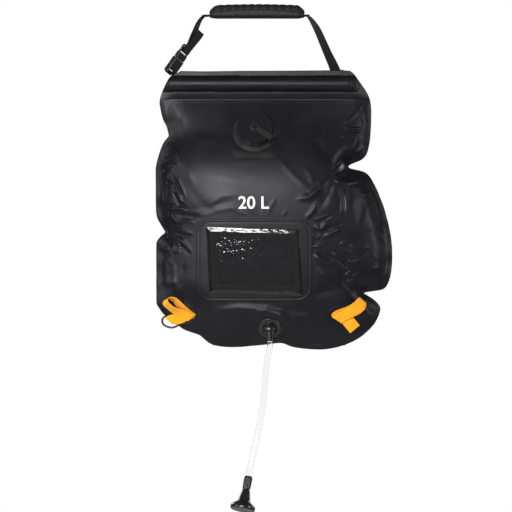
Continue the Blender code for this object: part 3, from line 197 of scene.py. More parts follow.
bpy.context.scene.view_settings.view_transform = "Standard"
make_camera()
make_world()
make_lamp("key", (-0.85, -3.1, 0.05), (0, 0, -0.36), (1.9, 0.9), 132.0)
make_lamp("left_fill", (-2.6, -1.2, 0.00), (0, 0, -0.36), (1.0, 1.2), 22.0)
make_lamp("right_fill", (2.5, -1.1, -0.1), (0, 0, -0.38), (0.8, 1.2), 21.0)
make_lamp("back_left", (-2.0, 2.3, 0.35), (0, 0, -0.36), (1.2, 1.2), 34.0)
make_lamp("back_right", (2.2, 2.0, -0.10), (0, 0, -0.36), (1.0, 1.2), 20.0)


# Materials


class Material:
    """A node material under construction round one Principled shader."""

    def __init__(self, name, colour, roughness, **sockets):
        self.material = bpy.data.materials.new(name)
        self.material.use_nodes = True
        self.tree = self.material.node_tree
        self.shader = self.tree.nodes["Principled BSDF"]
        self.height = None
        self.set(Base_Color=(*colour, 1.0), Roughness=roughness, **sockets)

    def set(self, **sockets):
        for key, value in sockets.items():
            feed(self.tree, self.shader.inputs[key.replace("_", " ")], value)

    def node(self, kind, *inputs, **values):
        return add_node(self.tree, kind, *inputs, **values)

    def math(self, operation, *inputs):
        return self.node("Math", *inputs, operation=operation).outputs[0]

    def axes(self, coordinates):
        return self.node("SeparateXYZ", self.node("TexCoord").outputs[coordinates]).outputs

    def noise(self, scale, detail=4.0):
        place = self.node("TexCoord").outputs["Object"]
        return self.node("TexNoise", Vector=place, Scale=scale, Detail=detail).outputs["Fac"]

    def remap(self, value, low, high):
        """A noise value, which mostly lies between 0.3 and 0.7, spread over a range of its own."""
        span = dict(From_Min=0.3, From_Max=0.7, To_Min=low, To_Max=high)
        return self.node("MapRange", Value=value, **span).outputs[0]

    def mixed(self, dark, pale, share):
        return self.node("Mix", data_type="RGBA", A=(*dark, 1), B=(*pale, 1), Factor=share).outputs["Result"]

    def vary_roughness(self, value, low, high):
        self.set(Roughness=self.remap(value, low, high))

    def vary_colour(self, value, dark, pale):
        self.set(Base_Color=self.mixed(dark, pale, self.remap(value, 0, 1)))

    def bump(self, value, distance, strength):
        made = self.node("Bump", Strength=strength, Distance=distance, Height=value)
        if self.height is not None:
            feed(self.tree, made.inputs["Normal"], self.height)
        self.height = made.outputs["Normal"]
        self.set(Normal=self.height)


THREAD_PITCH = 0.0011


def pvc_material():
    """Coated sheet: a soft satin with the cloth's threads just showing."""
    made = Material("pvc", (0.0058, 0.0056, 0.0070), 0.40)
    made.set(Specular_IOR_Level=0.235, Specular_Tint=(0.97, 0.945, 1.0, 1.0))
    cloud = made.noise(22.0, 5.0)
    made.vary_colour(cloud, (0.0044, 0.0042, 0.0054), (0.0070, 0.0068, 0.0086))
    made.vary_roughness(cloud, 0.38, 0.46)
    made.bump(made.noise(70.0, 6.0), 0.00045, 0.35)
    axes = made.axes("Object")
    threads = (made.math("SINE", made.math("MULTIPLY", axes[k], 2 * math.pi / THREAD_PITCH)) for k in (0, 2))
    made.bump(made.math("MAXIMUM", *threads), 0.00003, 0.35)
    return made.material


def plastic_material(name, roughness, colour):
    made = Material(name, colour, roughness)
    made.vary_roughness(made.noise(300.0, 3.0), roughness * 0.88, roughness * 1.15)
    made.bump(made.noise(2600.0, 2.0), 0.00002, 0.4)
    return made.material


def rubber_material(name, colour):
    made = Material(name, colour, 0.5, Specular_IOR_Level=0.3)
    made.bump(made.noise(3000.0, 2.0), 0.00004, 0.5)
    made.vary_roughness(made.noise(200.0), 0.52, 0.66)
    return made.material


WEFT_PITCH, WARP_PITCH = 0.00085, 0.00075


def webbing_material(name, dark, pale, roughness, sheen):
    """A plain weave in the ribbon's own coordinates: U across, V along, both in metres."""
    made = Material(name, pale, roughness, Specular_IOR_Level=0.2, Sheen_Weight=sheen, Sheen_Roughness=0.4)
    places = zip(made.axes("UV"), (WEFT_PITCH, WARP_PITCH))
    waves = [made.math("SINE", made.math("MULTIPLY", place, math.pi / pitch)) for place, pitch in places]
    weave = made.math("POWER", made.math("ABSOLUTE", made.math("MULTIPLY", *waves)), 0.6)
    shade = made.mixed((0.82, 0.82, 0.82), (1, 1, 1), made.remap(made.noise(60.0), 0, 1))
    cloth = made.mixed(dark, pale, weave)
    tint = made.node("Mix", data_type="RGBA", blend_type="MULTIPLY", Factor=1.0, A=cloth, B=shade)
    made.set(Base_Color=tint.outputs["Result"])
    made.bump(weave, 0.00035, 0.8)
    return made.material


def grain_material():
    made = Material("rose_grain", (0.030, 0.030, 0.032), 0.42)
    speck = made.noise(620.0, 5.0)
    made.vary_colour(speck, (0.006, 0.006, 0.0065), (0.075, 0.075, 0.080))
    made.vary_roughness(speck, 0.34, 0.5)
    made.bump(speck, 0.0005, 0.6)
    return made.material


def print_material():
    made = Material("white_print", (0.80, 0.80, 0.80), 0.5)
    made.vary_colour(made.noise(900.0, 3.0), (0.70, 0.70, 0.70), (0.86, 0.86, 0.86))
    made.bump(made.noise(1500.0, 2.0), 0.00002, 0.3)
    return made.material


def clear_material(name, roughness, tint, ior):
    made = Material(name, tint, roughness, IOR=ior, Transmission_Weight=1.0)
    made.vary_roughness(made.noise(60.0, 3.0), roughness * 0.7, roughness * 1.3)
    made.bump(made.noise(40.0, 2.0), 0.00002, 0.15)
    return made.material


PVC = pvc_material()
PLASTIC = plastic_material("moulded_plastic", 0.3, (0.012, 0.012, 0.013))
GLOSS = plastic_material("gloss_plastic", 0.20, (0.009, 0.009, 0.0098))
SATIN = plastic_material("satin_plastic", 0.48, (0.009, 0.009, 0.0098))
GRIP = rubber_material("grip_rubber", (0.006, 0.006, 0.0065))
SEAL = rubber_material("seal_rubber", (0.011, 0.011, 0.012))
BLACK_WEB = webbing_material("black_webbing", (0.0018, 0.0018, 0.0018), (0.0075, 0.0075, 0.008), 0.7, 0.03)
ORANGE_WEB = webbing_material("orange_webbing", (0.94, 0.30, 0.004), (1.0, 0.52, 0.022), 0.8, 0.1)
CLEAR = clear_material("clear_hose", 0.010, (0.95, 0.955, 0.965), 1.38)
FILM_CLEAR = clear_material("clear_film", 0.12, (0.27, 0.27, 0.28), 1.5)
BINDING = webbing_material("binding_tape", (0.0046, 0.0045, 0.0038), (0.0155, 0.0152, 0.0122), 0.8, 0.03)
NET = webbing_material("net_yarn", (0.005, 0.005, 0.0055), (0.022, 0.021, 0.025), 0.6, 0.02)
PRINT = print_material()
GRAIN = grain_material()
THREAD = webbing_material("sewing_thread", (0.012, 0.012, 0.011), (0.045, 0.045, 0.042), 0.6, 0.2)

# Floor

FLOOR_RADIUS, FLOOR_Z, FLOOR_SIDES = 0.85, -1.02, 96


def make_floor():
    """A pale disc below the object, nearer than the camera's lowest line of sight meets it."""
    mesh = bpy.data.meshes.new("floor")
    turns = [2 * math.pi * i / FLOOR_SIDES for i in range(FLOOR_SIDES)]
    ring = [(FLOOR_RADIUS * math.cos(a), FLOOR_RADIUS * math.sin(a), 0) for a in turns]
    mesh.from_pydata(ring, [], [tuple(range(FLOOR_SIDES))])
    mesh.materials.append(Material("floor_pale", (0.8, 0.8, 0.8), 0.9).material)
    floor = add_object("floor", mesh)
    floor.location = (0, 0, FLOOR_Z)


make_floor()

# CAD nodes and mesh helpers


def dress(node, material, bevel=0.0):
    """Gives a CAD node its material and, where it is rigid, small rounded edges."""
    thing = NODES[node]
    thing.data.materials.clear()
    thing.data.materials.append(material)
    if bevel:
        thing.modifiers.new("weld", "WELD").merge_threshold = 0.00001
        step = thing.modifiers.new("edges", "BEVEL")
        step.width = bevel
        step.segments = 2 if bevel < 0.001 else 4
        step.limit_method = "ANGLE"
        step.angle_limit = math.radians(30)
        step.use_clamp_overlap = True
        step.harden_normals = True


def add_mesh(name, verts, faces, material, uvs=None):
    mesh = bpy.data.meshes.new(name)
    mesh.from_pydata([tuple(v) for v in verts], [], [tuple(int(i) for i in f) for f in faces])
    mesh.materials.append(material)
    if uvs is not None:
        layer = mesh.uv_layers.new(name="UVMap")
        loops = np.zeros(len(mesh.loops), np.int32)
        mesh.loops.foreach_get("vertex_index", loops)
        layer.data.foreach_set("uv", np.asarray(uvs, np.float32)[loops].ravel())
    mesh.shade_smooth()
    return add_object(name, mesh)


def settle(piece, body, node=None):
    """Puts a piece on the body it moves with, and hides the CAD node that it replaces, where there is one."""
    if node:
        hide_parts(node)
    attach(piece, body)
    return piece


def thicken(thing, thickness):
    """Gives a thin sheet its two faces and its edge."""
    wall = thing.modifiers.new("wall", "SOLIDIFY")
    wall.thickness = thickness
    wall.offset = 0.0


def loft_faces(count, width, ring=True, path_ring=False, caps=False, base=0):
    """Faces through rows of points. ring closes each row, and path_ring joins the last row to the first."""
    faces = []
    for r in range(count if path_ring else count - 1):
        for i in range(width if ring else width - 1):
            j, q = (i + 1) % width, (r + 1) % count
            face = (r * width + i, r * width + j, q * width + j, q * width + i)
            faces.append(tuple(base + k for k in face))
    if caps:
        faces.append(tuple(base + i for i in range(width - 1, -1, -1)))
        faces.append(tuple(base + (count - 1) * width + i for i in range(width)))
    return faces


def lofted(name, rows, material, uvs=None, **ends):
    """A surface through rows of points, with loft_faces' ways to close it."""
    faces = loft_faces(*rows.shape[:2], **ends)
    uvs = None if uvs is None else uvs.reshape(-1, 2)
    return add_mesh(name, rows.reshape(-1, 3), faces, material, uvs)


def smooth_run(points, steps=None, spacing=None):
    """A smooth curve through points, with some steps or an even spacing between each two of them.

    Each row is the number of the point passed last, the share of the way to the next, and the place.
    """
    points = [Vector(point) for point in points]
    ends = [points[0] * 2 - points[1], *points, points[-1] * 2 - points[-2]]
    fine = []
    for k, (a, b, c, d) in enumerate(zip(ends, ends[1:], ends[2:], ends[3:])):
        count = steps or max(1, round((c - b).length / spacing))
        for t in (i / count for i in range(count)):
            place = 2 * b + (c - a) * t + (2 * a - 5 * b + 4 * c - d) * t**2 + (3 * b - a - 3 * c + d) * t**3
            fine.append((k, t, 0.5 * place))
    return [*fine, (len(points) - 1, 0.0, points[-1])]


def smooth_route(points, **pace):
    return [place for k, t, place in smooth_run(points, **pace)]


def sweep(name, path, radii, material, sides):
    """Tube walls along a path. radii gives the outside and, where the tube is hollow, the bore."""
    normal, rings = (path[1] - path[0]).cross(Y_AXIS).normalized(), []
    for i, point in enumerate(path):
        tangent = (path[min(i + 1, len(path) - 1)] - path[max(i - 1, 0)]).normalized()
        normal = (normal - tangent * normal.dot(tangent)).normalized()
        other = tangent.cross(normal)
        turns = (2 * math.pi * k / sides for k in range(sides))
        rings.append((point, [normal * math.cos(a) + other * math.sin(a) for a in turns]))
    rows = [[point + way * radii[0] for way in ways] for point, ways in rings]
    for bore in radii[1:]:
        rows += [[point + way * bore for way in ways] for point, ways in reversed(rings)]
    return lofted(name, np.array(rows), material, path_ring=len(radii) > 1)


# The hose's route, and the axis of the shower head that it ends in

HOSE_ROUTE = (
    (0.0224, -0.0279, -0.5668), (0.0207, -0.0277, -0.5850), (0.0182, -0.0272, -0.5975),
    (0.0160, -0.0264, -0.6180), (0.0139, -0.0258, -0.6389), (0.0119, -0.0254, -0.6610),
    (0.0095, -0.0253, -0.6829), (0.0061, -0.0256, -0.7040), (0.0021, -0.0264, -0.7251),
    (-0.0026, -0.0280, -0.7450), (-0.0071, -0.0308, -0.7640), (-0.0146, -0.0404, -0.8013),
)
HEAD_LEAN = math.radians(20.0)
HEAD_SWAY = math.radians(11.0)
HEAD_AXIS = Vector((
    -math.sin(HEAD_SWAY) * math.cos(HEAD_LEAN),
    -math.sin(HEAD_LEAN),
    -math.cos(HEAD_SWAY) * math.cos(HEAD_LEAN),
))


def hose_path():
    start = Vector((HOSE_ROUTE[0][0], HOSE_ROUTE[0][1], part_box("hose")[1].z))
    shift = start - Vector(HOSE_ROUTE[0])
    end = Vector(HOSE_ROUTE[-1]) + shift
    route = [Vector(point) + shift for point in HOSE_ROUTE[1:-1]]
    route = [start, start + Vector((0, 0, -HOSE_OD)), *route, end - HEAD_AXIS * HOSE_OD * 1.5, end]
    return smooth_route(route, spacing=0.0015)


def make_hose():
    path = hose_path()
    hose = sweep("clear_hose", path, (HOSE_OD / 2, HOSE_BORE / 2), CLEAR, 40)
    settle(hose, "bag", "hose")


# The bag's two sheets

OUTLINE_LEFT = (
    (71.0, 181), (73.5, 176), (76.5, 171), (79.5, 168.8), (85.5, 165.5), (91.5, 162.3), (97.5, 160.2),
    (101, 159.5), (104, 159.6), (108.5, 160.3), (114.5, 161.5), (120.5, 163.3), (124, 165.4), (126.5, 166.6),
    (132.5, 168.2), (136, 168.9), (138.5, 166.7), (141.5, 164.1), (144.5, 162.5), (150.5, 160.1),
    (156.5, 158.2), (162.5, 156.5), (168.5, 155.5), (186.5, 155.7), (210.5, 155.8), (216.5, 156.6),
    (220.5, 158.4), (226.5, 162.0), (231, 164.8), (232.6, 165.3), (234.5, 162.6), (236.5, 160.3),
    (240.5, 157.2), (242.5, 156.3), (252.5, 156.1), (288.5, 156.3), (301, 156.3), (304.5, 156.8),
    (308.5, 159.4), (312.5, 162.1), (318, 168.2), (324.5, 177.0), (328.5, 182.6), (330.5, 186.5),
    (332.5, 192.6), (334.5, 199.3), (338.5, 203.8), (342.5, 208.4), (345.0, 214.0),
)
OUTLINE_RIGHT = (
    (71.0, 349.5), (72.5, 352.5), (75.5, 355.1), (78.5, 357.1), (84.5, 361.5), (90.5, 365.7), (93.5, 367.4),
    (96.5, 368.8), (99.5, 369.9), (104, 370.9), (110, 371.4), (125, 371.2), (138.5, 370.2), (144.5, 369.3),
    (150.5, 368.1), (154.5, 366.6), (158.5, 363.5), (160.5, 360.4), (162.5, 355.1), (164.5, 349.8),
    (166.3, 348.3), (168.3, 349.0), (170.5, 361.6), (172.5, 365.9), (174.5, 368.2), (178.5, 371.2),
    (186.5, 375.5), (192.5, 378.4), (198.5, 380.7), (204.5, 383.1), (210.5, 385.1), (216.5, 386.7),
    (222.5, 388.3), (228.5, 389.5), (234.5, 390.7), (240.5, 391.5), (246.5, 392.1), (258.5, 392.4),
    (264.5, 392.2), (270.5, 391.5), (276.5, 390.4), (282.5, 388.5), (286.5, 386.3), (288.7, 384.0),
    (290.3, 380), (291.8, 363.5), (292.6, 362.4), (294.5, 366.4), (298.5, 372.9), (302.5, 377.5),
    (306.5, 380.4), (308.5, 380.6), (312.5, 379.8), (317.5, 377.9), (323.5, 374.6), (329.5, 369.2),
    (335.5, 362.4), (338.5, 357.9), (341.5, 352.4), (345.0, 344.0),
)
OUTLINE_BOTTOM = (
    (214, 345), (220, 346.6), (228, 347.2), (240, 347.1), (252, 345.9), (264, 344.9), (276, 343.2),
    (282, 342.6), (286, 344.2), (290, 346.6), (300, 348.3), (312, 349.5), (324, 349.6), (336, 347.8),
    (344, 345),
)
OUTLINE_TOP = ((181, 71.0), (204, 71.4), (240, 70.9), (300, 70.6), (330, 70.3), (344, 70.2), (349.5, 71.0))

SIDE_FLANGE = 0.0085
RIM = 0.0055
BAG_BOTTOM = -0.5818
CHAMBER_TOP = -0.1459
CHAMBER_BOTTOM = BAG_BOTTOM + SIDE_FLANGE
# How far out each sheet stands down its middle: height and depth in metres
FRONT_LEVELS = (
    (-0.1459, 0.0005), (-0.165, 0.0080), (-0.1835, 0.0165), (-0.2035, 0.0258), (-0.2235, 0.0346),
    (-0.2435, 0.0422), (-0.2600, 0.0470), (-0.2780, 0.0503), (-0.2950, 0.0518), (-0.315, 0.0521),
    (-0.34, 0.0507), (-0.37, 0.0477), (-0.40, 0.0440), (-0.427, 0.0405), (-0.46, 0.0358), (-0.498, 0.0295),
    (-0.5217, 0.0245), (-0.5452, 0.0175), (-0.5600, 0.0115), (-0.5687, 0.0065), (-0.5733, 0.0005),
)
BACK_LEVELS = (
    (-0.1459, 0.0005), (-0.165, 0.0080), (-0.2035, 0.0220), (-0.2435, 0.0325), (-0.28, 0.0380),
    (-0.33, 0.0400), (-0.40, 0.0392), (-0.45, 0.0365), (-0.49, 0.0315), (-0.52, 0.0240), (-0.5450, 0.0140),
    (-0.5600, 0.0085), (-0.5687, 0.0045), (-0.5733, 0.0005),
)
TUBE_ENDS = (-0.148, 0.157)
LOOP_SLOTS = (-0.137, 0.1426)
SLOT_WIDTH = 0.027


def line_of(points, across_first):
    """Rows of (place, value) in metres from outline points in pixels."""
    if across_first:
        rows = [((px - HANG_X) * PIXEL, (HANG_Y - py) * PIXEL) for px, py in points]
    else:
        rows = [((HANG_Y - py) * PIXEL, (px - HANG_X) * PIXEL) for py, px in points]
    return tuple(np.array(values) for values in zip(*sorted(rows)))


def smoothed(places, values, spread, inset=0.0):
    """The same line on an even spacing, with its bumps averaged out."""
    even = np.linspace(places[0], places[-1], 1200)
    step = even[1] - even[0]
    reach = int(3 * spread / step)
    kernel = np.exp(-0.5 * (np.arange(-reach, reach + 1) * step / spread) ** 2)
    padded = np.pad(np.interp(even, places, values), reach, mode="edge")
    return even, np.convolve(padded, kernel / kernel.sum(), "valid") + inset


LEFT_RAW = line_of(OUTLINE_LEFT, False)
RIGHT_RAW = line_of(OUTLINE_RIGHT, False)
LEFT_LINE = smoothed(*LEFT_RAW, 0.0014)
RIGHT_LINE = smoothed(*RIGHT_RAW, 0.0014)
TOP_LINE = smoothed(*line_of(OUTLINE_TOP, True), 0.004)
BOTTOM_LINE = smoothed(*line_of(OUTLINE_BOTTOM, True), 0.005)
LEFT_SOFT = smoothed(*LEFT_RAW, 0.024, RIM * 0.2)
RIGHT_SOFT = smoothed(*RIGHT_RAW, 0.024, -RIM * 0.2)
FRONT_SOFT = smoothed(*map(np.array, zip(*sorted(FRONT_LEVELS))), 0.0055)
BACK_SOFT = smoothed(*map(np.array, zip(*sorted(BACK_LEVELS))), 0.0055)


def smooth_step(value):
    value = np.clip(value, 0.0, 1.0)
    return value * value * (3 - 2 * value)


def outline_loop(step):
    """The bag's outline as (x, z) points, a step apart."""
    down = np.arange(LEFT_LINE[0][-1], LEFT_LINE[0][0], -step)
    left = [(np.interp(z, *LEFT_LINE), z) for z in down]
    right = [(np.interp(z, *RIGHT_LINE), z) for z in down[::-1]]
    low = [(x, np.interp(x, *BOTTOM_LINE)) for x in np.arange(left[-1][0], right[0][0], step)[1:]]
    top = [(x, np.interp(x, *TOP_LINE)) for x in np.arange(left[0][0], right[-1][0], step)[:0:-1]]
    return np.array(left + low + right + top)


LOOP = outline_loop(0.003)


def rim_distance(x, z):
    """How far each point is from the bag's outline."""
    best = np.full(x.shape, 9.0)
    for a, b in zip(LOOP, np.roll(LOOP, -1, 0)):
        run = b - a
        t = np.clip(((x - a[0]) * run[0] + (z - a[1]) * run[1]) / run.dot(run), 0, 1)
        best = np.minimum(best, np.hypot(x - a[0] - t * run[0], z - a[1] - t * run[1]))
    return best


def zone_weight(x, z, centre_x, centre_z, half_x, half_z, blend):
    """One inside a box, and falling to zero over a distance outside it."""
    out = np.hypot(np.maximum(np.abs(x - centre_x) - half_x, 0), np.maximum(np.abs(z - centre_z) - half_z, 0))
    return smooth_step(1 - out / blend)


def pillow(x, z, levels, rim):
    """The plain swollen form, before any fold."""
    left, right = np.interp(z, *LEFT_SOFT), np.interp(z, *RIGHT_SOFT)
    across = np.clip(2 * (x - left) / (right - left) - 1, -1, 1)
    full = np.interp(z, *levels) * (1 - np.abs(across) ** 3.1) ** 0.8
    rise = np.clip((rim - RIM) / np.interp(z, (-0.25, -0.18), (0.030, 0.034)), 0, 1)
    return np.where((z < CHAMBER_TOP) & (z > CHAMBER_BOTTOM), full * (1 - (1 - rise) ** 2.2), 0.0)


def sleeve(x, z):
    """The hem's tube, which closes to flat folds past the rod's ends."""
    round_rod = np.sqrt(np.maximum(SLEEVE_RADIUS**2 - (z - ROD_Z) ** 2, 0))
    past = np.maximum(TUBE_ENDS[0] - 0.003 - x, x - TUBE_ENDS[1] - 0.003)
    return round_rod * smooth_step(1 - past / 0.022)


def corner_plane(corner, x, z):
    """How far forward the tilted flat of a corner loop stands."""
    (corner_x, corner_z), inward, level = corner
    turn, rise = math.radians(inward), math.tan(math.radians(CORNER_RISE))
    return level + rise * ((x - corner_x) * math.cos(turn) + (z - corner_z) * math.sin(turn))


def from_corner(x, z, corner):
    return np.hypot(x - corner[0][0], z - corner[0][1])


def patch_planes(x, z, depth):
    """The flat places that the neck, the outlet and the corner loops sit on."""
    for centre, half, level, tilt, blend in (
        (NECK, 0.025, NECK_DEPTH, NECK_TILT, 0.022), (OUTLET, 0.016, OUTLET_DEPTH, -OUTLET_TILT, 0.020),
    ):
        plane = level - math.tan(math.radians(tilt)) * (z - centre[1])
        depth = depth + (plane - depth) * zone_weight(x, z, *centre, half, half, blend)
    for corner in CORNERS.values():
        weight = smooth_step(1 - (from_corner(x, z, corner) - 0.020) / 0.042)
        depth = depth + (corner_plane(corner, x, z) - depth) * weight
    return depth


def fitting_weight(x, z):
    """One where a fitting is welded on, zero where the sheet is free."""
    half_x, half_z = (size / 2 - 0.004 for size in POCKET_SIZE)
    weights = [
        smooth_step(1 - (np.hypot(x - NECK[0], (z - NECK[1]) * 1.02) - 0.040) / 0.016),
        zone_weight(x, z, *POCKET, half_x, half_z, 0.014),
        smooth_step(1 - (np.hypot(x - OUTLET[0], z - OUTLET[1]) - 0.022) / 0.012),
    ]
    weights += [smooth_step(1 - (from_corner(x, z, corner) - 0.029) / 0.012) for corner in CORNERS.values()]
    return np.max(weights, axis=0)


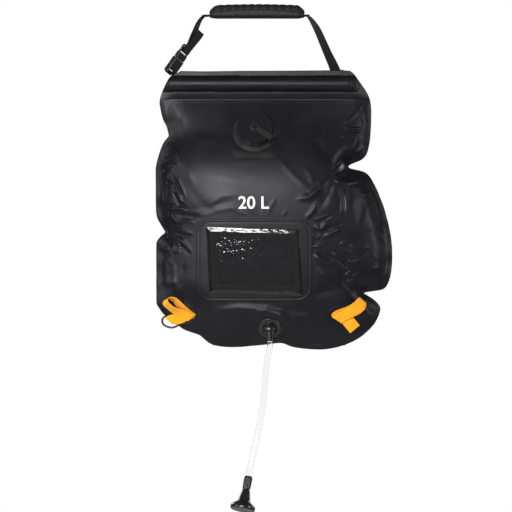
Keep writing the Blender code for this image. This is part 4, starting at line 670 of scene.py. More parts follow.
# Folds of the front sheet, as photographed: points in pixels, half width and height in millimetres.
# A height above zero is a ridge and below zero a valley; sharp is 1 for a crisp fold and 0 for a soft roll.
FOLDS = (
    (((170.5, 141.7), (175.7, 152.4), (179.9, 161.8), (185.9, 169.5)), 4.0, 1.2, 0.4),
    (((166.3, 156.8), (171.0, 154.3)), 1.6, -1.6, 0.8),
    (((164.1, 163.9), (168.4, 161.6), (172.4, 162.3)), 2.2, -2.0, 0.7),
    (((165.0, 165.6), (168.4, 164.5), (171.0, 167.3)), 1.4, 1.3, 0.9),
    (((172.4, 157.1), (173.5, 162.2), (178.2, 165.2)), 1.8, -1.3, 0.6),
    (((162.4, 173.8), (167.5, 170.3), (172.4, 167.8)), 2.8, -2.2, 0.6),
    (((162.8, 167.8), (168.0, 166.7), (170.2, 169.5), (172.4, 171.9)), 1.4, 1.4, 0.9),
    (((171.0, 172.9), (175.7, 179.7), (179.9, 188.3), (185.5, 199.0)), 2.4, -2.6, 0.8),
    (((170.4, 172.9), (168.1, 176.3), (167.5, 180.6)), 1.5, 1.2, 0.8),
    (((173.3, 173.3), (178.7, 180.6), (183.5, 190.4), (187.0, 200.3)), 2.6, 1.8, 0.7),
    (((166.3, 181.5), (170.5, 183.6), (174.4, 184.0)), 2.2, -2.0, 0.7),
    (((172.4, 189.6), (175.7, 196.0), (179.5, 204.1), (184.2, 206.4), (190.2, 211.4)), 2.4, -2.6, 0.8),
    (((174.4, 179.7), (178.2, 190.0), (181.2, 200.3), (185.5, 203.7)), 2.2, 2.2, 0.9),
    (((166.3, 184.9), (168.4, 188.3), (168.4, 193.4), (167.1, 202.0)), 2.2, -1.0, 0.5),
    (((162.8, 187.4), (162.1, 197.7), (162.8, 208.8)), 2.5, 0.9, 0.4),
    (((170.1, 208.4), (172.4, 204.6)), 1.5, -1.6, 0.8),
    (((169.2, 211.0), (175.7, 208.4), (182.5, 209.3), (188.5, 212.4)), 2.8, 1.8, 0.8),
    (((168.4, 210.5), (170.1, 213.1), (169.2, 217.0)), 1.6, -2.0, 0.9),
    (((173.1, 214.0), (184.2, 216.1), (194.5, 217.4), (204.7, 219.1)), 5.0, -2.6, 0.5),
    (((166.9, 213.8), (171.0, 214.8), (174.8, 220.6),
      (177.4, 222.5), (186.8, 221.0), (192.8, 222.5), (197.9, 225.3)), 1.7, 2.2, 0.9),
    (((169.2, 217.4), (174.4, 224.7), (180.8, 225.8), (187.6, 224.2)), 3.0, -2.6, 0.6),
    (((166.3, 219.1), (166.7, 224.2), (169.7, 228.5), (171.0, 233.6)), 2.4, 1.2, 0.5),
    (((172.7, 231.5), (179.5, 228.9), (186.8, 231.9), (194.5, 233.8)), 2.6, 1.8, 0.7),
    (((174.8, 232.8), (184.2, 236.2), (194.5, 237.2)), 3.6, -2.2, 0.6),
    (((173.5, 235.4), (181.7, 240.5), (187.6, 246.5), (193.2, 253.3)), 2.8, 2.4, 0.8),
    (((179.1, 244.8), (185.9, 249.2), (191.5, 255.0)), 2.4, -2.0, 0.7),
    (((165.6, 231.9), (168.4, 237.9), (171.6, 244.3), (171.8, 249.9)), 2.2, -3.6, 0.9),
    (((167.5, 233.2), (171.4, 238.8), (175.7, 243.5), (183.4, 246.5)), 2.0, 1.8, 0.8),
    (((158.6, 247.3), (164.5, 249.0), (171.0, 248.9)), 4.0, 1.8, 0.4),
    (((171.8, 249.9), (175.7, 251.6), (182.5, 252.5)), 2.2, 1.2, 0.8),
    (((161.1, 150.7), (165.4, 146.4), (170.5, 143.0)), 3.5, 1.4, 0.4),
    (((330.6, 177.6), (335.7, 171.3), (345.1, 160.6)), 1.9, 2.8, 0.9),
    (((331.6, 177.3), (340.0, 171.9), (348.1, 167.6)), 1.8, -4.2, 0.9),
    (((331.0, 178.4), (338.6, 173.1), (345.5, 168.9)), 1.2, 1.4, 0.9),
    (((330.9, 178.9), (337.1, 182.8), (347.2, 183.6), (357.4, 181.5), (364.3, 176.8)), 2.4, 3.4, 0.9),
    (((334.9, 176.8), (347.2, 177.6), (360.3, 175.4)), 5.0, -3.4, 0.5),
    (((330.6, 177.6), (324.4, 182.6), (318.3, 189.9), (308.2, 197.8), (293.7, 201.2)), 5.5, 3.2, 0.7),
    (((332.8, 182.6), (328.4, 191.3), (322.6, 202.9), (313.9, 213.0)), 5.0, -2.2, 0.4),
    (((335.4, 184.1), (340.7, 200.0), (339.7, 218.8)), 1.6, 0.8, 0.7),
    (((337.1, 184.1), (342.9, 200.0), (343.2, 217.4)), 1.8, -0.8, 0.7),
    (((343.6, 187.0), (345.8, 200.0), (345.1, 220.3)), 2.2, 0.7, 0.6),
    (((363.9, 178.6), (371.8, 194.2), (376.5, 204.3), (379.4, 217.4), (380.5, 228.9)), 4.5, 2.0, 0.5),
    (((353.0, 184.1), (358.8, 197.1), (360.3, 213.0), (357.4, 228.9)), 7.0, -1.4, 0.3),
    (((363.3, 102.7), (357.7, 111.7), (350.1, 119.7), (341.9, 126.5)), 2.6, 1.9, 0.8),
    (((341.9, 127.9), (353.0, 129.1), (364.3, 128.8)), 1.5, 1.7, 0.9),
    (((342.9, 131.7), (351.6, 132.0), (361.7, 131.1)), 2.2, -1.5, 0.6),
    (((358.1, 107.1), (362.0, 114.6), (364.0, 127.9)), 2.0, 1.3, 0.7),
    (((357.4, 129.8), (354.2, 145.0), (346.5, 159.2)), 5.5, 2.2, 0.4),
    (((342.2, 133.4), (343.2, 137.8), (348.1, 137.0)), 2.0, 0.8, 0.6),
    (((310.5, 224.9), (319.7, 229.8), (329.3, 219.7)), 3.2, 2.2, 0.8),
    (((311.1, 221.0), (319.7, 222.4), (332.8, 214.8)), 1.5, -1.0, 0.7),
    (((309.9, 234.2), (316.1, 237.9), (319.7, 235.9)), 2.0, 1.4, 0.8),
    (((320.9, 237.9), (332.8, 232.6), (344.1, 226.1)), 3.2, 2.2, 0.8),
    (((321.2, 232.6), (331.3, 227.5), (342.9, 223.9)), 2.4, -1.4, 0.6),
    (((310.3, 247.2), (316.1, 246.6), (321.5, 247.5)), 1.6, 1.4, 0.8),
    (((338.3, 244.9), (342.9, 242.3), (347.5, 241.4)), 1.8, 1.5, 0.8),
    (((346.9, 244.6), (357.4, 248.6), (369.2, 246.9)), 3.6, 2.6, 0.9),
    (((344.3, 246.3), (347.2, 249.9), (350.4, 251.8)), 1.6, -1.8, 0.8),
    (((349.4, 255.0), (360.3, 255.7), (369.7, 249.2)), 2.6, -1.5, 0.6),
    (((310.5, 253.8), (321.2, 261.1), (334.9, 265.4)), 4.2, 2.6, 0.8),
    (((313.9, 252.1), (327.0, 256.4), (334.2, 260.8)), 2.6, -1.4, 0.6),
    (((329.9, 252.1), (335.7, 255.3), (347.2, 261.1), (351.9, 264.0)), 2.6, 2.6, 0.9),
    (((334.9, 257.9), (342.2, 264.4), (347.2, 269.5)), 2.4, -2.2, 0.8),
    (((338.6, 256.4), (345.8, 265.1), (350.9, 267.3)), 1.8, 1.5, 0.9),
    (((351.0, 260.2), (354.5, 262.2), (358.1, 258.6)), 1.8, 1.8, 0.9),
    (((345.5, 279.3), (350.1, 281.9), (354.2, 278.2)), 2.0, 1.8, 0.8),
    (((351.9, 276.7), (354.5, 274.5), (357.4, 273.5)), 1.4, 1.2, 0.8),
    (((342.2, 275.3), (345.8, 270.9), (350.1, 269.5)), 2.0, -1.2, 0.7),
    (((303.5, 221.0), (310.8, 213.0), (318.6, 200.7)), 3.4, 2.0, 0.6),
    (((312.5, 220.3), (322.6, 217.4), (333.1, 214.5)), 1.3, 0.9, 0.8),
    (((313.9, 265.9), (331.3, 282.5), (348.7, 290.5)), 6.0, 1.6, 0.4),
    (((353.0, 289.0), (363.2, 285.7), (377.6, 283.9)), 2.6, 1.6, 0.6),
    (((350.9, 291.2), (344.3, 284.7), (340.0, 276.7)), 2.0, -1.4, 0.7),
    (((370.4, 248.5), (373.3, 256.4), (377.6, 260.8), (378.4, 283.9)), 2.0, 0.7, 0.6),
    (((225.3, 204.5), (237.5, 211.6), (249.8, 217.4)), 3.4, 0.4, 0.4),
    (((238.6, 195.3), (248.8, 207.6), (255.9, 217.8)), 3.6, 0.45, 0.4),
    (((249.8, 195.3), (257.9, 207.6), (261.0, 217.8)), 3.6, -0.4, 0.4),
    (((267.7, 217.8), (269.2, 209.6), (276.3, 197.4)), 3.6, 0.4, 0.4),
    (((286.5, 210.6), (283.5, 214.7), (281.4, 217.8)), 3.0, 0.35, 0.4),
    (((200.8, 217.8), (221.2, 210.0), (241.6, 208.6)), 4.5, 0.45, 0.3),
    (((186.5, 185.1), (202.8, 205.5), (221.2, 217.8)), 8.0, -0.6, 0.2),
    (((210.0, 310.0), (237.5, 307.6), (266.1, 309.6),
      (289.6, 321.8), (309.0, 338.2), (321.2, 350.4)), 6.5, 2.8, 0.6),
    (((212.0, 312.1), (219.2, 328.0), (233.5, 340.2)), 5.0, 1.3, 0.4),
    (((166.1, 258.6), (166.1, 274.9), (169.2, 291.2)), 5.0, 1.3, 0.4),
    (((185.5, 260.6), (183.5, 274.9), (179.4, 291.2)), 3.5, -1.4, 0.5),
    (((174.3, 258.6), (174.3, 276.9), (176.3, 295.3)), 4.0, 1.2, 0.4),
    (((309.0, 295.3), (331.4, 289.2), (351.8, 283.1)), 7.0, -1.4, 0.4),
    (((278.4, 307.6), (309.0, 311.6), (331.4, 325.9)), 7.0, -1.6, 0.4),
    (((183.5, 91.2), (184.1, 115.7), (182.8, 142.3)), 4.0, 0.4, 0.4),
    (((274.3, 140.2), (298.8, 128.0), (335.5, 115.7)), 14.0, -0.9, 0.2),
    (((337.5, 168.8), (319.2, 150.4), (311.0, 136.1)), 10.0, -1.0, 0.3),
    (((172.2, 144.3), (186.5, 168.8), (196.7, 189.2)), 8.0, 1.3, 0.3),
)


def fold_height(x, z, points, width, height, sharp):
    """One fold's height, tapering to nothing at both ends."""
    line = np.array([((px - HANG_X) * PIXEL, (HANG_Y - py) * PIXEL) for px, py in points])
    width, height = width / 1000, height / 1000
    low, high = line.min(0) - 4 * width, line.max(0) + 4 * width
    near = (x > low[0]) & (x < high[0]) & (z > low[1]) & (z < high[1])
    out = np.zeros(x.shape)
    if not near.any():
        return out
    px, pz = x[near], z[near]
    runs = line[1:] - line[:-1]
    lengths = np.hypot(runs[:, 0], runs[:, 1])
    whole, done = lengths.sum(), 0.0
    best, place = np.full(px.shape, 9.0), np.zeros(px.shape)
    for a, run, length in zip(line, runs, lengths):
        t = np.clip(((px - a[0]) * run[0] + (pz - a[1]) * run[1]) / length**2, 0, 1)
        off = np.hypot(px - a[0] - t * run[0], pz - a[1] - t * run[1])
        closer = off < best
        best[closer] = off[closer]
        place[closer] = ((done + t * length) / whole)[closer]
        done += length
    taper = smooth_step(np.minimum(place, 1 - place) * 3.2)
    width_here = width * (0.55 + 0.45 * taper)
    d = best / width_here
    tent = np.maximum(1 - np.sqrt(d * d + 0.02) / 2.0, 0) ** 1.25
    roll = np.exp(-d * d)
    out[near] = height * taper * (sharp * tent + (1 - sharp) * roll)
    return out


def random_folds(seed, count, low, high, lengths, widths, heights):
    """Small creases scattered over a part of the bag, the same on each run."""
    dice = np.random.default_rng(seed)
    made = []
    for _ in range(count):
        px, py = dice.uniform(low[0], high[0]), dice.uniform(low[1], high[1])
        turn, length = dice.uniform(0, math.pi), dice.uniform(*lengths) / 2
        bend = dice.uniform(-0.25, 0.25) * length
        dx, dy = math.cos(turn) * length, math.sin(turn) * length
        points = ((px - dx, py - dy), (px - dy / length * bend, py + dx / length * bend), (px + dx, py + dy))
        made.append((points, dice.uniform(*widths), dice.choice((-1, 1)) * dice.uniform(*heights), 0.6))
    return made


# In pixels: where the rim's folds point to, how far down they begin and how far in from the rim
FOLD_MIDDLE, FOLD_TOP, FOLD_INSET = (262.0, 232.0), 112, 4.5


def rim_folds(seed, pitch, lengths, widths, heights):
    """Short puckers that run in from the weld round the chamber, the same on each run."""
    dice = np.random.default_rng(seed)
    loop = np.array([[x / PIXEL + HANG_X, HANG_Y - z / PIXEL] for x, z in LOOP])
    runs = np.roll(loop, -1, 0) - loop
    steps = np.hypot(runs[:, 0], runs[:, 1])
    made, place, total = [], 0.0, steps.sum()
    ends = np.cumsum(steps)
    while place < total:
        i = int(np.searchsorted(ends, place))
        point = loop[i] + runs[i] * ((place - ends[i] + steps[i]) / steps[i])
        place += pitch * dice.uniform(0.5, 1.6)
        if point[1] < FOLD_TOP:
            continue
        inward = (FOLD_MIDDLE - point) / np.hypot(*(FOLD_MIDDLE - point))
        turn = dice.normal(0, 0.35)
        inward = np.array([
            inward[0] * math.cos(turn) - inward[1] * math.sin(turn),
            inward[0] * math.sin(turn) + inward[1] * math.cos(turn),
        ])
        start, length = point + inward * FOLD_INSET, dice.uniform(*lengths)
        bend = np.array([-inward[1], inward[0]]) * dice.uniform(-0.18, 0.18) * length
        points = (tuple(start), tuple(start + inward * length / 2 + bend), tuple(start + inward * length))
        made.append((points, dice.uniform(*widths), dice.choice((-1, 1, 1)) * dice.uniform(*heights), 0.5))
    return made


def weld_lines(x, z):
    """Fine ribs of the weld under the hem, and the crease at its lower edge."""
    ribs = np.zeros(x.shape)
    for py in (93.4, 95.2, 97.0):
        ribs += 0.00035 * np.exp(-(((z - (HANG_Y - py) * PIXEL) / 0.0007) ** 2))
    return ribs + 0.0011 * np.exp(-(((z - (HANG_Y - 99.6) * PIXEL) / 0.0012) ** 2))


def folded(x, z, folds):
    """The height of all the folds together."""
    return sum((fold_height(x, z, *fold) for fold in folds), np.zeros(x.shape))


def front_depth(x, z):
    rim = rim_distance(x, z)
    inside = (z < CHAMBER_TOP + 0.004) & (z > CHAMBER_BOTTOM)
    free = (1 - fitting_weight(x, z)) * smooth_step((rim - RIM) / 0.008)
    depth = np.where(inside, patch_planes(x, z, pillow(x, z, FRONT_SOFT, rim)), 0.0)
    depth = np.maximum(depth, sleeve(x, z)) + folded(x, z, ALL_FOLDS) * free
    depth += weld_lines(x, z) * smooth_step((rim - 0.002) / 0.006)
    return np.maximum(depth, SEAM)


def back_depth(x, z):
    rim = rim_distance(x, z)
    free = smooth_step((rim - RIM) / 0.008) * (z < CHAMBER_TOP)
    depth = np.maximum(pillow(x, z, BACK_SOFT, rim), sleeve(x, z)) + folded(x, z, BACK_FOLDS) * free
    return np.maximum(depth + weld_lines(x, z), SEAM)


def flutter(x, z):
    """How far both sheets of the flat rim wave together."""
    rim = rim_distance(x, z)
    wave = np.sin(z * 71.0 + 0.9) * 0.6 + np.sin(z * 163.0 + x * 40.0) * 0.4
    keep = smooth_step(1 - rim / 0.030) * smooth_step((CHAMBER_TOP - 0.01 - z) / 0.03)
    for corner in CORNERS.values():
        keep = keep * smooth_step((from_corner(x, z, corner) - 0.045) / 0.03)
    keep = keep * smooth_step((z - BAG_BOTTOM - 0.03) / 0.05)
    curl = 0.0032 * np.clip(1 - rim / 0.0085, 0, 1) ** 1.5 * smooth_step((CHAMBER_TOP + 0.01 - z) / 0.02)
    hem = ROD_Z - SLEEVE_RADIUS
    lean = smooth_step((hem - z) / 0.018) * smooth_step((z + 0.215) / 0.06) * smooth_step(rim / 0.03)
    return 0.0022 * wave * keep + curl - 0.0038 * lean


ALL_FOLDS = (
    *FOLDS,
    *rim_folds(11, 17.0, (12, 30), (3.0, 6.0), (0.4, 1.2)),
    *random_folds(5, 46, (170, 140), (380, 335), (20, 60), (4.0, 10.0), (0.2, 0.7)),
)
BACK_FOLDS = (
    *rim_folds(23, 8.0, (10, 34), (2.5, 5.0), (1.0, 2.6)),
    *random_folds(8, 90, (165, 115), (385, 335), (18, 70), (3.0, 8.0), (0.4, 1.6)),
)


def sheet_grid(across, down):
    """Places of a grid that follows the bag's outline on all four sides."""
    v = np.linspace(0, 1, down)[:, None]
    s = np.linspace(0, 1, across)[None, :]
    u = s * 0.55 + (0.5 - 0.5 * np.cos(math.pi * s)) * 0.45
    z0, z1 = LEFT_LINE[0][-1], LEFT_LINE[0][0]
    z_side = z0 + (z1 - z0) * v
    left, right = np.interp(z_side, *LEFT_LINE), np.interp(z_side, *RIGHT_LINE)
    x = left + (right - left) * u
    top, bottom = np.interp(x[0], *TOP_LINE), np.interp(x[-1], *BOTTOM_LINE)
    return x, top[None, :] + (bottom - top)[None, :] * v


def grid_faces(rows, columns, flip, skip):
    i, j = np.meshgrid(np.arange(rows - 1), np.arange(columns - 1), indexing="ij")
    a = i * columns + j
    quads = np.stack([a, a + columns, a + columns + 1, a + 1], -1)[~skip]
    return quads[:, ::-1] if flip else quads


def make_sheet(name, depth, side, across, down, node, skip):
    """One sheet of the bag, side -1 in front or 1 behind, with holes where skip is true."""
    x, z = sheet_grid(across, down)
    y = side * depth(x.ravel(), z.ravel()).reshape(x.shape) + flutter(x.ravel(), z.ravel()).reshape(x.shape)
    holes = skip(*((g[:-1, :-1] + g[1:, :-1] + g[:-1, 1:] + g[1:, 1:]) / 4 for g in (x, z)))
    verts, uvs = np.stack([x, y, z], -1).reshape(-1, 3), np.stack([x, z], -1).reshape(-1, 2)
    sheet = add_mesh(name, verts, grid_faces(down, across, side > 0, holes), PVC, uvs)
    thicken(sheet, SHEET)
    return settle(sheet, "bag", node)


def strap_slots(x, z):
    """Where the hem of the back sheet is cut away for the strap rings."""
    near = np.minimum(*(np.abs(x - slot) for slot in LOOP_SLOTS)) < SLOT_WIDTH / 2
    return near & (np.abs(z - ROD_Z - 0.001) < SLEEVE_RADIUS + 0.0028)


def fitting_holes(x, z):
    """The mouths of the filler neck and of the outlet in the front sheet."""
    neck, outlet = (
        np.hypot(x - centre[0], (z - centre[1]) / math.cos(math.radians(tilt))) < radius
        for centre, tilt, radius in ((NECK, NECK_TILT, 0.024), (OUTLET, OUTLET_TILT, 0.0045))
    )
    return neck | outlet


for bag_sheet in (
    make_sheet("bag_front", front_depth, -1, 400, 470, "front_sheet", fitting_holes),
    make_sheet("bag_back", back_depth, 1, 220, 260, "back_sheet", strap_slots),
):
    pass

# Pieces welded or sewn on the front sheet


def front_field(step):
    """The front sheet's middle surface on an even grid, for the pieces that follow it."""
    xs = np.arange(LOOP[:, 0].min(), LOOP[:, 0].max() + step, step)
    zs = np.arange(LOOP[:, 1].min(), LOOP[:, 1].max() + step, step)
    x, z = (g.ravel() for g in np.meshgrid(xs, zs))
    y = -front_depth(x, z) + flutter(x, z)
    return xs[0], zs[0], step, y.reshape(len(zs), len(xs))


FIELD = front_field(0.0014)


def on_front(x, z, lift):
    """Points held off the front sheet's outer face by lift."""
    x, z = np.asarray(x, float), np.asarray(z, float)
    x0, z0, step, field = FIELD
    i = np.clip((x - x0) / step, 0, field.shape[1] - 1.001)
    j = np.clip((z - z0) / step, 0, field.shape[0] - 1.001)
    a, b = np.floor(i).astype(int), np.floor(j).astype(int)
    s, t = i - a, j - b
    y = (field[b, a] * (1 - s) + field[b, a + 1] * s) * (1 - t)
    y = y + (field[b + 1, a] * (1 - s) + field[b + 1, a + 1] * s) * t
    return np.stack([x, y - SHEET / 2 - lift, z], -1)


def rounded_box(centre, size, radius, steps=14):
    """An outline in (x, z) that goes round a box with round corners."""
    inner = np.array(size) / 2 - radius
    points = []
    for k, sign in enumerate(((1, 1), (-1, 1), (-1, -1), (1, -1))):
        for a in (math.pi / 2 * (k + i / steps) for i in range(steps + 1)):
            points.append(np.array(centre) + sign * inner + radius * np.array((math.cos(a), math.sin(a))))
    out = []
    for a, b in zip(points, points[1:] + points[:1]):
        pieces = max(1, round(math.dist(a, b) / 0.004))
        out += [a + (b - a) * i / pieces for i in range(pieces)]
    return np.array(out)


def welded_patch(name, edge, centre, groove, node):
    """A piece of sheet welded on the front, with a round rim and the weld's groove inside it."""
    reach = np.hypot(*(edge - centre).T).mean()
    beside = (groove + step for step in (-0.0012, -0.0004, 0.0004, 0.0012))
    inset = np.array([0.0, 0.0004, 0.001, 0.0018, *beside])
    shares = [*(1 - inset / reach), *np.linspace(1 - (groove + 0.003) / reach, 0.03, 16)]
    lifts = [0.15, 0.62, 0.92, 1.0, 1.0, 0.66, 0.66, *[1.0] * 17]
    front = [on_front(*(centre + (edge - centre) * k).T, GAP + h * PATCH) for k, h in zip(shares, lifts)]
    back = [on_front(*(centre + (edge - centre) * k).T, GAP) for k in (0.03, 0.5, 0.99)]
    patch = lofted(name, np.array(front[::-1] + back[::-1]), PVC, caps=True)
    return settle(patch, "bag", node)


def bilinear(corners, u, v):
    """Places (x, z) inside four corners: top left, top right, bottom right, bottom left."""
    tl, tr, br, bl = corners
    return tuple((tl[k] * (1 - u) + tr[k] * u) * (1 - v) + (bl[k] * (1 - u) + br[k] * u) * v for k in (0, 1))


def in_quad(corners, u, v):
    """The same, with the corners given in pixels."""
    return bilinear([((px - HANG_X) * PIXEL, (HANG_Y - py) * PIXEL) for px, py in corners], u, v)


def wander(x, z, pitch, seed):
    """A smooth uneven field between about -1 and 1."""
    k = 2 * math.pi / pitch
    return (
        np.sin(k * (x * 0.91 + z * 0.42) + seed) * 0.45
        + np.sin(k * (z * 1.23 - x * 0.37) + seed * 2.3) * 0.35
        + np.sin(k * (x * 1.9 + z * 1.7) + seed * 3.1) * 0.2
    )


FILM_CORNERS = ((207, 227), (298, 230), (302.5, 296), (210, 292.3))
BINDING_CORNERS = ((210.7, 232.0), (297.0, 235.0), (299.3, 290.6), (213.6, 289.2))
PATCH_LIFT = GAP + PATCH


def make_film():
    """The clear window, slack in the middle and wavy in its upper left part."""
    u, v = np.meshgrid(np.linspace(0, 1, 150), np.linspace(0, 1, 112))
    x, z = in_quad(FILM_CORNERS, u, v)
    width, height = FILM_SIZE
    edge = np.minimum(np.minimum(u, 1 - u) * width, np.minimum(v, 1 - v) * height)
    swell = np.exp(-(((u - 0.52) / 0.42) ** 2) - (((v - 0.62) / 0.34) ** 2))
    rise = 0.0013 * smooth_step(edge / 0.009) + 0.0022 * swell * smooth_step(edge / 0.01)
    strong = 0.7 + 2.4 * np.exp(-(((u - 0.24) / 0.19) ** 2) - (((v - 0.24) / 0.15) ** 2))
    long_x = 0.42 * x + 0.25 * z
    wave = strong * (0.00024 * wander(long_x, z, 0.017, 1.7) + 0.00012 * wander(long_x, z, 0.0055, 0.4))
    wave = wave * smooth_step(edge / 0.002)
    rows = on_front(x, z, PATCH_LIFT + GAP + FILM / 2 + rise + np.maximum(wave, -rise))
    film = lofted("window_cover", rows[:, ::-1], FILM_CLEAR, ring=False)
    settle(film, "bag", "window_film")
    thicken(film, FILM)


def quad_ring(inset):
    """The corners of the binding's outline in metres, moved inward."""
    corners = [np.array(in_quad(BINDING_CORNERS, u, v)) for u, v in ((0, 0), (1, 0), (1, 1), (0, 1))]
    return [c + np.array(sign) * inset for c, sign in zip(corners, ((1, -1), (-1, -1), (-1, 1), (1, 1)))]


def run_over(section):
    """How far along a tape's section each of its points lies."""
    return np.cumsum([0, *np.hypot(*(np.diff(np.array(section), axis=0) / 1000).T)])


# The binding's section: how far in from its outer edge, and how high over the film, in millimetres
TAPE_SECTION = (
    (0.0, 0.5), (-0.35, 2.0), (-0.35, 3.8), (0.0, 4.7), (0.35, 5.35), (1.1, 5.85), (2.0, 5.75), (3.2, 6.0),
    (5.4, 6.0), (6.6, 5.7), (7.4, 5.8), (8.2, 5.4), (8.5, 4.8), (8.2, 4.2), (7.0, 4.0), (2.2, 3.9),
    (1.6, 3.2), (1.5, 0.5),
)


def make_binding():
    steps = 60
    rows, uvs, run, across = [], [], 0.0, run_over(TAPE_SECTION)
    rings = [quad_ring(d / 1000) for d, h in TAPE_SECTION]
    for k in range(4):
        size = np.linalg.norm(rings[0][(k + 1) % 4] - rings[0][k])
        for t in (i / steps for i in range(steps)):
            x, z = np.array([ring[k] * (1 - t) + ring[(k + 1) % 4] * t for ring in rings]).T
            heights = np.array([h for d, h in TAPE_SECTION]) / 1000 * (1 + 0.05 * wander(x, z, 0.021, 0.9))
            shift = 0.0003 * wander(x[0], z[0], 0.017, 2.0)
            rows.append(on_front(x + shift, z + shift, PATCH_LIFT + FILM + heights))
            uvs.append(np.stack([across, np.full(len(across), run + t * size)], -1))
        run += size
    binding = lofted("pocket_tape", np.array(rows), BINDING, np.array(uvs), path_ring=True)
    return settle(binding, "bag", "pocket_binding")


# The divider's section: how far to the side of its middle, and how high over the film, in millimetres
DIVIDER_SECTION = (
    (-1.4, 0.5), (-1.5, 3.6), (-2.7, 4.3), (-2.9, 5.0), (-2.2, 5.6), (0, 5.8), (2.2, 5.6), (2.9, 5.0),
    (2.7, 4.3), (1.5, 3.6), (1.4, 0.5),
)
DIVIDER_PLACE = 0.4185


def make_divider():
    """The tape between the two pockets, on a wall down to the film."""
    rows, uvs, across = [], [], run_over(DIVIDER_SECTION)
    side, high = np.array(DIVIDER_SECTION).T / 1000
    for v in np.linspace(0.07, 0.93, 60):
        x, z = in_quad(BINDING_CORNERS, DIVIDER_PLACE, v)
        rows.append(on_front(x + side + 0.0003 * math.sin(v * 19), 0 * side + z, PATCH_LIFT + FILM + high))
        uvs.append(np.stack([across, 0 * across + v * 0.1], -1))
    divider = lofted("pocket_divider", np.array(rows), BINDING, np.array(uvs), caps=True)
    return settle(divider, "bag", "pocket_binding")


NET_PITCH, NET_RISE = 0.0063, 0.0054
STRAND_HALF, STRAND_THICK = 0.00088, 0.0004


def net_lines(width, height):
    """The ends (u, v) in metres of each strand of a diamond net over a width and height."""
    lean = NET_RISE / NET_PITCH
    for way in (1, -1):
        for k in range(-math.ceil(height / lean / NET_PITCH), math.ceil(width / NET_PITCH) + 1):
            start = k * NET_PITCH
            u0, u1 = max(0.0, start), min(width, start + height / lean)
            if u1 - u0 >= NET_PITCH * 0.4:
                yield way, u0, (u0 - start) * lean, u1, (u1 - start) * lean


def make_net():
    ring = quad_ring(0.0060)
    width, height = np.linalg.norm(ring[1] - ring[0]), np.linalg.norm(ring[3] - ring[0])
    verts, faces, uvs = [], [], []
    section = ((-1, 0), (-0.55, 1), (0.55, 1), (1, 0), (0.55, -1), (-0.55, -1))
    for way, u0, v0, u1, v1 in net_lines(width, height):
        length = math.hypot(u1 - u0, v1 - v0)
        steps = max(2, round(length / 0.00165))
        t = np.linspace(0, 1, steps + 1)
        u, v = u0 + (u1 - u0) * t, v0 + (v1 - v0) * t
        if way < 0:
            v = height - v
        side = np.array([-(v[-1] - v[0]), u[-1] - u[0]]) / length * STRAND_HALF
        weave = way * 0.00035 * np.cos(np.pi * (u / NET_PITCH * 2))
        sag = 0.0009 * np.sin(np.pi * u / width) * np.sin(np.pi * v / height)
        rows = []
        for across, up in section:
            x, z = bilinear(ring, (u + side[0] * across) / width, (v + side[1] * across) / height)
            rows.append(on_front(x, z, PATCH_LIFT + FILM + 0.0047 + sag + weave + up * STRAND_THICK))
        faces += loft_faces(steps + 1, len(section), base=len(verts))
        verts.extend(np.stack(rows, 1).reshape(-1, 3))
        uvs.extend((k * 0.0006, run) for run in t * length for k in range(len(section)))
    return settle(add_mesh("pocket_net", verts, faces, NET, uvs), "bag", "mesh_pocket")


STITCH_LENGTH, STITCH_PITCH, STITCH_RADIUS = 0.0022, 0.0031, 0.00028


def stitches(name, places):
    """A row of thread stitches. Each place is a centre, a direction and the outward face."""
    verts, faces = [], []
    for centre, along, out in places:
        side = along.cross(out).normalized()
        faces += loft_faces(4, 6, caps=True, base=len(verts))
        for t, size in ((-0.5, 0.35), (-0.34, 0.95), (0.34, 0.95), (0.5, 0.35)):
            place = centre + along * (t * STITCH_LENGTH)
            for a in (math.pi * i / 3 for i in range(6)):
                verts.append(place + (side * math.cos(a) + out * math.sin(a)) * STITCH_RADIUS * size)
    return add_mesh(name, verts, faces, THREAD)


def make_pocket_stitches():
    rows = []
    for inset, high in ((0.0015, 5.95), (0.0071, 5.85)):
        ring = quad_ring(inset)
        for a, b in zip(ring, ring[1:] + ring[:1]):
            length = np.linalg.norm(b - a)
            count = int(length / STITCH_PITCH)
            shares = ((i + 0.5) / count for i in range(count))
            rows += [(*(a + (b - a) * share), (b - a) / length, high) for share in shares]
    x, z, ways, high = zip(*rows)
    places = on_front(x, z, PATCH_LIFT + FILM + np.array(high) / 1000)
    sewn = [(Vector(place), Vector((way[0], 0, way[1])), -Y_AXIS) for place, way in zip(places, ways)]
    return settle(stitches("pocket_stitches", sewn), "bag")


def make_pocket():
    edge = rounded_box(POCKET, POCKET_SIZE, 0.023)
    patch = welded_patch("bag_patch", edge, np.array(POCKET), 0.0055, "window_patch")
    make_film()
    tape, divider, net, sewn = make_binding(), make_divider(), make_net(), make_pocket_stitches()


make_pocket()

# Webbing

TUBE_RADIUS = 0.011
LOOP_RADIUS = TUBE_RADIUS + GAP + WEB / 2
GRIP_LENGTH = 0.167
GRIP_FLOOR = 0.0032
STRAP_LEVEL = GRIP_FLOOR + GAP + WEB / 2
# A woven band's section: places across it from edge to edge, and how thick it is there
BAND_SECTION = (
    (-1, 0.25), (-0.97, 0.72), (-0.9, 1.0), (-0.6, 0.92), (-0.2, 0.92), (0.2, 0.92), (0.6, 0.92), (0.9, 1.0),
    (0.97, 0.72), (1, 0.25),
)


